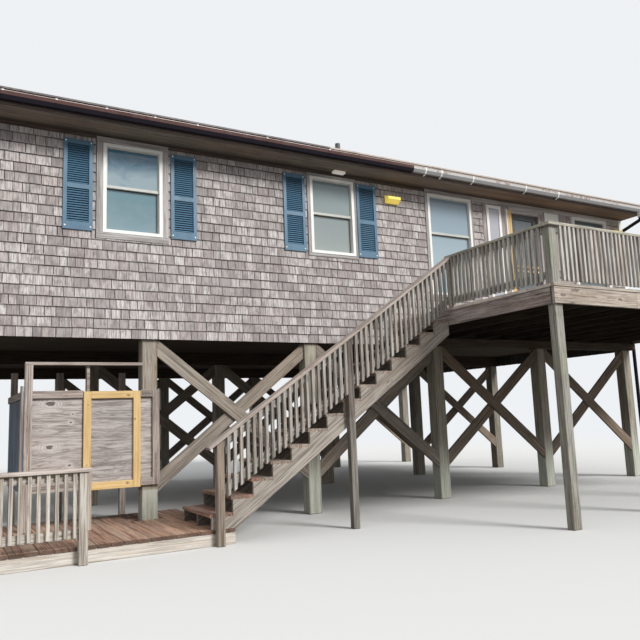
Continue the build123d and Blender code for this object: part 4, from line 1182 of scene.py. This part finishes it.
def add_stair():
    """Stringers, treads of two boards each, and the sloping railing with plumb balusters."""
    rear_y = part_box("stair_stringers")[0].y + 0.1
    # Stringers behind the front one take the darker timber as painted shade.
    dress(
        "stringers", "stair_stringers", "stair_timber rear_stringer_timber", 51,
        pick=lambda low, high: int(low.y > rear_y),
    )
    stack = Stack(52)
    for i, (low, high) in enumerate(spans("stair_treads")):
        half = (high.x - low.x) / 2
        for k in (0, 1):
            x = low.x + k * half + k * TREAD_GAP, low.x + (k + 1) * half - (1 - k) * TREAD_GAP
            y = low.y + sway(stack.chance, 0.002) + 0.002, high.y
            stack.box(x, y, (low.z, high.z), "Y", 0.004, int(2 * i + k < RED_BOARDS))
    stack.piece("tread_boards", "tread_timber tread_red", stands_for=("stair_treads",))

    posts = post_spans()
    newel, mid, head = posts["newel"], posts["stair_mid"], posts["stair_head"]
    slope, low_at = stair_rail_line()
    half_plumb = RAIL_H * math.sqrt(1 + slope * slope) / 2
    line_y = newel[0].y
    cut = Vector((-slope, 0, 1))
    stack = Stack(53)
    for x0, x1, last in (
        (newel[1].x, mid[0].x, mid[0].x),
        (mid[1].x, head[0].x, deck_low.x + LAST_BALUSTER),
    ):
        for drop in (half_plumb, LOWER_RAIL_DROP - half_plumb):
            a, b = (Vector((x, line_y + RAIL_T / 2, low_at(x) - drop)) for x in (x0, x1))
            stack.board(a, b, RAIL_H, RAIL_T, Z, cut_a=X, cut_b=X)
        count = round((last - x0) / BALUSTER_PITCH)
        step = (last - x0) / count
        for i in range(count):
            x = x0 + (i + 0.5) * step + sway(stack.chance)
            foot_x = x + sway(stack.chance)
            foot_z = low_at(x) - BALUSTER_DROP + sway(stack.chance, BALUSTER_ERROR)
            low = Vector((foot_x, line_y - BALUSTER / 2, foot_z))
            high = Vector((x, line_y - BALUSTER / 2, low_at(x)))
            stack.board(low, high, BALUSTER - 0.001, BALUSTER, X, 0.002, cut, cut)
    stack.piece("stair_rails", "stair_rail_timber", stands_for=("stair_railing",))
    materials = "stair_rail_timber mid_post_timber walk_rail_timber newel_timber"
    dress("rail_posts", "railing_posts", materials, 54, 0.005, pick=post_kind)


CAP_W = 0.140
CAP_T = 0.038
CAP_EDGE = 0.005
CAP_GAP = 0.001
CAP_JOINT = 0.35


def add_caps():
    """Flat caps on the stair's, the deck's and the boardwalk's railings."""
    walk_cap, stair_cap, (low, high) = spans("rail_caps")
    inner_y = low.y + CAP_W
    joint = (low.x + high.x) / 2 + CAP_JOINT
    stack = Stack(55)
    for x, y, along in (
        ((low.x, joint - CAP_GAP), (low.y, inner_y), "X"),
        ((joint + CAP_GAP, high.x), (low.y, inner_y), "X"),
        ((low.x, low.x + CAP_W), (inner_y + CAP_GAP, post_spans()["stair_head"][1].y), "Y"),
        ((high.x - CAP_W, high.x), (inner_y + CAP_GAP, high.y), "Y"),
    ):
        stack.box(x, y, (low.z, high.z), along, CAP_EDGE)
    stack.block(*walk_cap, "X", CAP_EDGE, 1)
    low, high = stair_cap
    slope, low_at = stair_rail_line()
    angle = math.atan(slope)
    lift = Vector((-math.sin(angle), 0, math.cos(angle))) * CAP_T / 2
    mid_y = (low.y + high.y) / 2
    start_x = low.x + CAP_T * math.sin(angle)
    a = Vector((start_x, mid_y, low_at(start_x))) + lift
    b = Vector((high.x, mid_y, low_at(high.x))) + Z * CAP_T / 2 / math.cos(angle)
    stack.board(a, b, high.y - low.y, CAP_T, Y, CAP_EDGE, cut_b=X, kind=1)
    stack.piece("railing_caps", "cap_timber stair_cap_timber", stands_for=("rail_caps",))


# Deck
DECK_BOARD = 0.1395
BOARD_GAP = 0.005
BOARD_EDGE = 0.004
RAGGED = 0.007
JOINT_SHARES = (0.3, 0.4, 0.5, 0.6, 0.7)
JOINT_GAP = 0.002
POST_GAP = 0.003
FASCIA_JOINT = 1.765
FASCIA_GAP = 0.0015
BOLT_SHARES = (0.3, 0.7)
BOLT_INSET = 0.05

# Error in the height of a board, none because the boards lie level
BOARD_LIFT = 0.0


def add_deck():
    """Floor boards with gaps and ragged ends, and the framing below them."""
    posts = spans("deck_posts")
    low, high = deck_low, deck_high
    z = low.z, high.z
    front_y, back_of_posts = posts[0][0].y, posts[0][1].y
    stack = Stack(61)
    stack.box((low.x, high.x), (low.y, front_y - POST_GAP), z, "X", BOARD_EDGE, 1)
    edges = [low.x] + [corner.x for post in posts for corner in post] + [high.x]
    for a, b in zip(edges[::2], edges[1::2]):
        if b - a > 0.02:
            stack.box((a + JOINT_GAP, b - JOINT_GAP), (front_y, back_of_posts - POST_GAP), z, "X", BOARD_EDGE)
    count = round((high.y - back_of_posts) / DECK_BOARD)
    pitch = (high.y - back_of_posts) / count
    for i in range(count):
        y0 = back_of_posts + i * pitch + BOARD_GAP / 2
        a = low.x + stack.chance.uniform(0, RAGGED)
        b = high.x - stack.chance.uniform(0, RAGGED)
        joint = a + (b - a) * stack.chance.choice(JOINT_SHARES)
        for x in ((a, joint - JOINT_GAP), (joint + JOINT_GAP, b)):
            up = low.z, high.z + sway(stack.chance, BOARD_LIFT)
            stack.box(x, (y0, y0 + pitch - BOARD_GAP), up, "X", BOARD_EDGE)
    stack.piece("deck_boards", "deck_timber deck_fascia", stands_for=("deck_floor",))
    dress("deck_post_timbers", "deck_posts", "deck_post_timber", 62, 0.006)
    dress("deck_ledger_board", "deck_ledger", "painted_shade_under_deck", 63)
    dress("deck_bearer_timber", "deck_bearer", "painted_shade_girder_timber", 64)
    low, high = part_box("deck_front_rim")
    stack = Stack(65)
    for x in ((low.x, FASCIA_JOINT - FASCIA_GAP), (FASCIA_JOINT + FASCIA_GAP, high.x)):
        stack.box(x, (low.y, high.y), (low.z, high.z), "X", BOARD_EDGE)
    stack.piece("deck_front_fascia", "deck_fascia", stands_for=("deck_front_rim",))
    stack = Stack(68)
    for post_low, post_high in posts:
        for share, z in zip(BOLT_SHARES, (low.z + BOLT_INSET, high.z - BOLT_INSET)):
            x = post_low.x + (post_high.x - post_low.x) * share
            stack.stud(Vector((x, low.y, z)), 0.012, 0.003)
    stack.piece("fascia_bolts", "hinge_steel")
    dress("deck_side_fascias", "deck_side_rims", "deck_side_fascia", 66)
    dress("deck_joist_boards", "deck_joists", "painted_shade_under_deck", 67)


# Boardwalk
WALK_BOARD = 0.140
WALK_BALUSTER_PITCH = 0.084
WALK_BALUSTER_FOOT = 0.103
WALK_RAIL_FOOT = 0.091


def add_boardwalk():
    """Red-brown boards across the walk, its pale frame and its railing."""
    low, high = walk_low, walk_high
    pile_low, pile_high = spans("front_piles")[1]
    stack = Stack(71)
    count = round((high.x - low.x) / WALK_BOARD)
    pitch = (high.x - low.x) / count
    for i in range(count):
        x0 = low.x + i * pitch + BOARD_GAP / 2
        x1 = x0 + pitch - BOARD_GAP
        front = low.y + stack.chance.uniform(0.0, 0.006)
        parts = [(front, high.y)]
        if x1 > pile_low.x and x0 < pile_high.x:
            parts = [(front, pile_low.y), (pile_high.y, high.y)]
        for y in parts:
            stack.box((x0, x1), y, (low.z, high.z - stack.chance.uniform(0, 0.003)), "Y", 0.006)
    stack.piece("walk_boards", "walk_timber", stands_for=("boardwalk_floor",))
    dress("walk_frame_boards", "boardwalk_frame", "pale_timber", 72, axis=X)
    posts = post_spans()
    rail, upright = spans("boardwalk_railing")
    y, top = rail[1].y - RAIL_T, rail[1].z
    a, b = Vector((posts["walk_left"][1].x, y, 0)), Vector((posts["walk_right"][0].x, y, 0))
    stack = Stack(73)
    feet = high.z + WALK_RAIL_FOOT, high.z + WALK_BALUSTER_FOOT
    level_rail(stack, a, b, -Y, feet[0], top, WALK_BALUSTER_PITCH, feet[1])
    stack.block(*upright, "Z")
    stack.piece("walk_rails", "walk_rail_timber", stands_for=("boardwalk_railing",))


# Piles, girders, braces and the closed underside
def add_under_house():
    """Timber under the floor."""
    stall_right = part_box("shower_boards")[1].x
    materials = "pile_timber mossy_pile_timber"
    for row, seed in (("front", 81), ("middle", 82), ("back", 83)):
        pick = (lambda low, high: int(low.x > stall_right)) if row == "front" else None
        dress(row + "_pile_timbers", row + "_piles", materials, seed, 0.008, pick=pick)
        # The middle and back rows take the darker pile timber as painted shade.
        materials = "painted_shade_pile_timber"
    dress("girder_timbers", "girders", "painted_shade_girder_timber", 84, 0.004, X)
    for way, seed in (("falling", 85), ("rising", 86)):
        dress(
            way + "_brace_boards", "braces_" + way, "frame_timber shaded_frame_timber", seed,
            0.004, pick=lambda low, high: int(low.x > deck_low.x),
        )
    dress("floor_underside", "floor_platform", "painted_shade_under_floor", 87, axis=X)


# Shower stall
STALL_BAR = 0.092
STALL_SHEET_T = 0.015
STALL_SCREWS = (0.815, 0.917, 1.347)
BAR_GAP = 0.0005


def add_shower():
    """Posts, top rail, boards and plywood of the stall, and its new pine door frame."""
    dress("stall_posts", "shower_posts", "shower_timber", 91, 0.004)
    dress("stall_top_rail", "shower_top_frame", "shower_timber", 92, axis=X)
    sheets = dress("stall_sheets", "shower_sheets", "plywood_front plywood_side", 95, 0.001)
    # The left side sheet takes the darker, bluer plywood as painted shade.
    side_sheet_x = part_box("shower_sheets")[0].x + STALL_SHEET_T
    for face in sheets.data.polygons:
        if face.center.x < side_sheet_x:
            face.material_index = 1
    stack = Stack(93)
    for low, high in spans("shower_boards"):
        size = high - low
        if size.z < 0.2:
            stack.block(low, high, "X" if size.x > size.y else "Y")
        elif size.x < 0.05:
            stack.block(low, high, "Z")
        else:
            edge = high.x - STALL_BAR
            for z in end_bands((low.z, high.z), STALL_BAR):
                stack.box((low.x, edge - 0.001), (low.y, high.y), z)
            stack.box((edge, high.x), (low.y, high.y), (low.z, high.z), "Z")
            for z in STALL_SCREWS:
                stack.stud(Vector((high.x - STALL_BAR / 2, low.y, z)), 0.006, 0.002, 1)
    stack.piece("stall_boards", "shower_timber hinge_steel", stands_for=("shower_boards",))
    low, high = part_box("shower_door_frame")
    y, z = (low.y, high.y), (low.z, high.z)
    stack = Stack(94)
    for x in end_bands((low.x, high.x), STALL_BAR):
        stack.box(x, y, z, "Z")
    x = low.x + STALL_BAR + BAR_GAP, high.x - STALL_BAR - BAR_GAP
    for band in end_bands(z, STALL_BAR):
        stack.box(x, y, band)
    stack.piece("pine_door_frame", "new_pine", "shower_door", ("shower_door_frame",))


# Windows, doors and fittings
# Dark strips on the front's lower panes: painted shadow at the head, the screen's frame at the right side.
SCREEN_EDGE_W = 0.007
SHADOW_LINE_H = 0.012
DARK_STRIP_OUT = 0.004
BATTEN_H = 0.042
BATTEN_T = 0.014
BATTEN_Z = (4.035, 3.95)


def add_casings():
    """Grey timber casings of four boards round each window."""
    frames = spans("window_frames")
    stack = Stack(101)
    for low, high in spans("window_casings"):
        mid = (low + high) / 2
        inner_low, inner_high = min(frames, key=lambda f: ((f[0] + f[1]) / 2 - mid).length)
        x, y = (low.x, high.x), (low.y, high.y)
        along, across = ("X", X) if high.y - low.y < high.x - low.x else ("Y", Y)
        wide = ((high - low).dot(across) - (inner_high - inner_low).dot(across)) / 2
        # Casings right of FRIEZE_START take the paler copy of the casing timber, painted light.
        pale = int(low.x > FRIEZE_START)
        for z in end_bands((low.z, high.z), wide):
            stack.box(x, y, z, along, kind=pale)
        z = low.z + wide, high.z - wide
        for band in end_bands(x if along == "X" else y, wide):
            stack.box(*((band, y) if along == "X" else (x, band)), z, "Z", kind=pale)
    materials = "casing_timber pale_casing_timber"
    stack.piece("casing_boards", materials, stands_for=("window_casings",))


def add_window_details():
    """Painted shadow under the meeting rail at the head of the front's lower panes, a dark screen frame at
    their right side, and the door's two battens.
    """
    stack = Stack(104)
    for low, high in spans("window_panes"):
        wide = high.x - low.x
        if low.y > face_y + 0.1 or wide < high.y - low.y or wide <= 0.4 or high.z >= GLASS_MEETING_Z:
            continue
        # Painted shadow: a dark strip under the meeting rail; the strip at the right side is the screen's
        # dark frame.
        y, head_z = (low.y - DARK_STRIP_OUT, low.y), high.z - SHADOW_LINE_H
        stack.box((low.x, high.x), y, (head_z, high.z), "X", 0.001)
        stack.box((high.x - SCREEN_EDGE_W, high.x), y, (low.z, head_z), "Z", 0.001)
    stack.piece("shadow_and_screen_edges", "shadow_and_screen_edge")
    low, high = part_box("entry_door")
    stack = Stack(105)
    for mid in BATTEN_Z:
        z = mid - BATTEN_H / 2, mid + BATTEN_H / 2
        stack.box((low.x, high.x), (low.y - BATTEN_T, low.y), z, "X", 0.002)
    stack.piece("door_battens", "new_pine")


# Materials of the CAD nodes that show as they are
PLAIN_NODES = {
    "wall_sheath": "front_wall back_wall left_wall right_wall",
    "roof_shingle": "roof_front roof_back",
    "white_trim": "corner_boards window_frames sign_board",
    "sash_vinyl": "upper_sashes lower_sashes",
    "soffit_lamp": "soffit_light",
    "window_glass": "window_panes",
    "shutter_blue": "shutters",
    "light_yellow": "wall_lights",
    "gutter_brown": "brown_gutters downspout",
    "gutter_grey": "grey_gutter",
    "vent_plastic": "vent_pipe",
    "door_paint": "entry_door",
    "plywood_door": "shower_door_sheet",
    "hinge_steel": "shower_hinge_leaves shower_door_hinge_leaves",
}


def finish_plain_nodes():
    """Better materials for the nodes that show as they are, and the boards of the eaves and verges."""
    for material, names in PLAIN_NODES.items():
        for node in names.split():
            for slot in nodes[node].material_slots:
                slot.link = "OBJECT"
                slot.material = MAT[material]
    dress(
        "soffit_boards", "eave_soffits", "soffit_timber soffit_timber_plain", 112,
        axis=X, pick=lambda low, high: int(low.y >= face_y),
    )
    dress("eave_fascia_boards", "eave_fascias", "fascia_timber", 113, axis=X)
    dress("verge_boards", "rake_boards", "fascia_timber", 114, axis=Y)


# Gutters, roof edge and small fittings
GUTTER_FOOT_SHARE = 0.3
JOINTS = (-6.157, -5.557, -4.957, -4.357, -3.737, -3.157, -2.117, -1.087)
JOINT_BAND = (0.045, 0.0025)
# Half the width of the white painted highlight on the lip at each joint.
JOINT_GLINT = 0.014
HANGERS = (0.733, 1.063, 1.753, 2.993, 3.833)
HANGER_W = 0.03
HANGER_T = 0.005
LIP_SIZE = (0.010, 0.012)
OUTLET_INSET = 0.066
OUTLET_R = 0.043
DRIP_CHANGE = -1.05
DRIP_REACH = 0.060


def gutter_foot_y():
    """Place of the gutter's front bottom edge."""
    return gutter_low.y + (gutter_high.y - gutter_low.y) * GUTTER_FOOT_SHARE


def gutter_band(stack, x, wide, thick, kind):
    """Band round the outside of the front gutter, from its lip to its foot."""
    front = gutter_low.y
    path = ((front, gutter_high.z), (front, gutter_waist), (gutter_foot_y(), gutter_low.z))
    for start, stop in zip(path, path[1:]):
        a, b = Vector((x, *start)), Vector((x, *stop))
        out = (b - a).cross(X).normalized()
        if out.y > 0:
            out = -out
        stack.board(a + out * thick / 2, b + out * thick / 2, wide, thick, X, 0.0005, kind=kind)


def add_gutter_details():
    """Lips, the brown gutter's a painted highlight, joint bands with a painted highlight on the lip at each,
    strap hangers, end cap, outlet and the edge of the roof above them.
    """
    stack = Stack(121)
    lip_y, lip_z, end = gutter_low.y, gutter_high.z, gutter_high.x
    # The lip along the brown gutter is a pale painted highlight; along the grey gutter it is tan with rust.
    for x0, x1, kind in ((house_x - half_len, gutter_low.x, 0), (gutter_low.x + 0.001, end, 4)):
        a, b = (Vector((x, lip_y + 0.002, lip_z + 0.002)) for x in (x0, x1))
        stack.board(a, b, *LIP_SIZE, Z, kind=kind)
    for x in JOINTS:
        gutter_band(stack, house_x + x, *JOINT_BAND, 2)
        # Painted highlight: a small white block on the lip at each joint.
        glint_x = house_x + x - JOINT_GLINT, house_x + x + JOINT_GLINT
        stack.box(glint_x, (lip_y - 0.008, lip_y + 0.012), (lip_z - 0.006, lip_z + 0.011), "X", 0.002, 3)
    for x in HANGERS:
        gutter_band(stack, house_x + x, HANGER_W, HANGER_T, 3)
        foot = Vector((house_x + x, gutter_foot_y(), gutter_low.z - 0.002))
        back = Vector((foot.x, gutter_high.y, gutter_low.z - 0.028))
        stack.board(foot, back, HANGER_W, HANGER_T, X, 0.0005, kind=3)
    cap_y, cap_z = (lip_y - 0.002, gutter_high.y), (gutter_waist, lip_z + 0.003)
    stack.box((end - 0.006, end), cap_y, cap_z, "Z", 0.001, 1)
    pipe_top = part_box("downspout")[1].z
    outlet = Vector((house_x + half_len - OUTLET_INSET, (gutter_low.y + gutter_high.y) / 2, pipe_top))
    for radius, foot in ((OUTLET_R, -0.105), (OUTLET_R + 0.006, -0.022)):
        low = outlet + Vector((-radius, -radius, foot))
        stack.block(low, outlet + Vector((radius, radius, -0.002)), "Z", 0.012, 3)
    materials = "gutter_lip gutter_grey gutter_brown white_trim drip_edge_tan"
    stack.piece("gutter_fittings", materials)
    stack = Stack(122)
    edge_z = soffit_top + ROOF_THICK
    y, z = (face_y - EAVE_REACH - DRIP_REACH, face_y - EAVE_REACH), (edge_z - 0.006, edge_z + 0.022)
    for x0, x1, kind in ((-half_len, DRIP_CHANGE, 0), (DRIP_CHANGE + 0.001, half_len, 1)):
        stack.box((house_x + x0, house_x + x1), y, z, kind=kind)
    stack.piece("drip_edge", "drip_edge_dark drip_edge_tan")


SCREW_INSET = 0.026
SCREW_FOOT = 0.045
SCREW_HEAD = 0.030
PLATE_RIM = 0.008


def add_fitting_details():
    """Caps over the shutters' screws, and the rims of the flood lights."""
    stack = Stack(123)
    for low, high in spans("shutters"):
        for x in (low.x + SCREW_INSET, high.x - SCREW_INSET):
            for z in (low.z + SCREW_FOOT, high.z - SCREW_HEAD):
                stack.stud(Vector((x, low.y, z)), 0.012, 0.006)
    stack.piece("shutter_screw_caps", "white_trim")
    stack = Stack(124)
    for low, high in spans("wall_lights"):
        x, z = (low.x - PLATE_RIM, high.x + PLATE_RIM), (low.z - PLATE_RIM, high.z + 0.006)
        stack.box(x, (face_y - 0.012, face_y), z, "X", 0.002)
    stack.piece("light_plates", "lamp_rim")


bpy.context.scene.view_settings.view_transform = "Standard"
add_timbers()
add_finishes()
add_camera()
add_world()
add_sun()
add_floor()
add_shingles()
add_roof()
add_deck_railings()
add_stair()
add_caps()
add_deck()
add_boardwalk()
add_under_house()
add_shower()
add_casings()
add_window_details()
add_gutter_details()
add_fitting_details()
finish_plain_nodes()
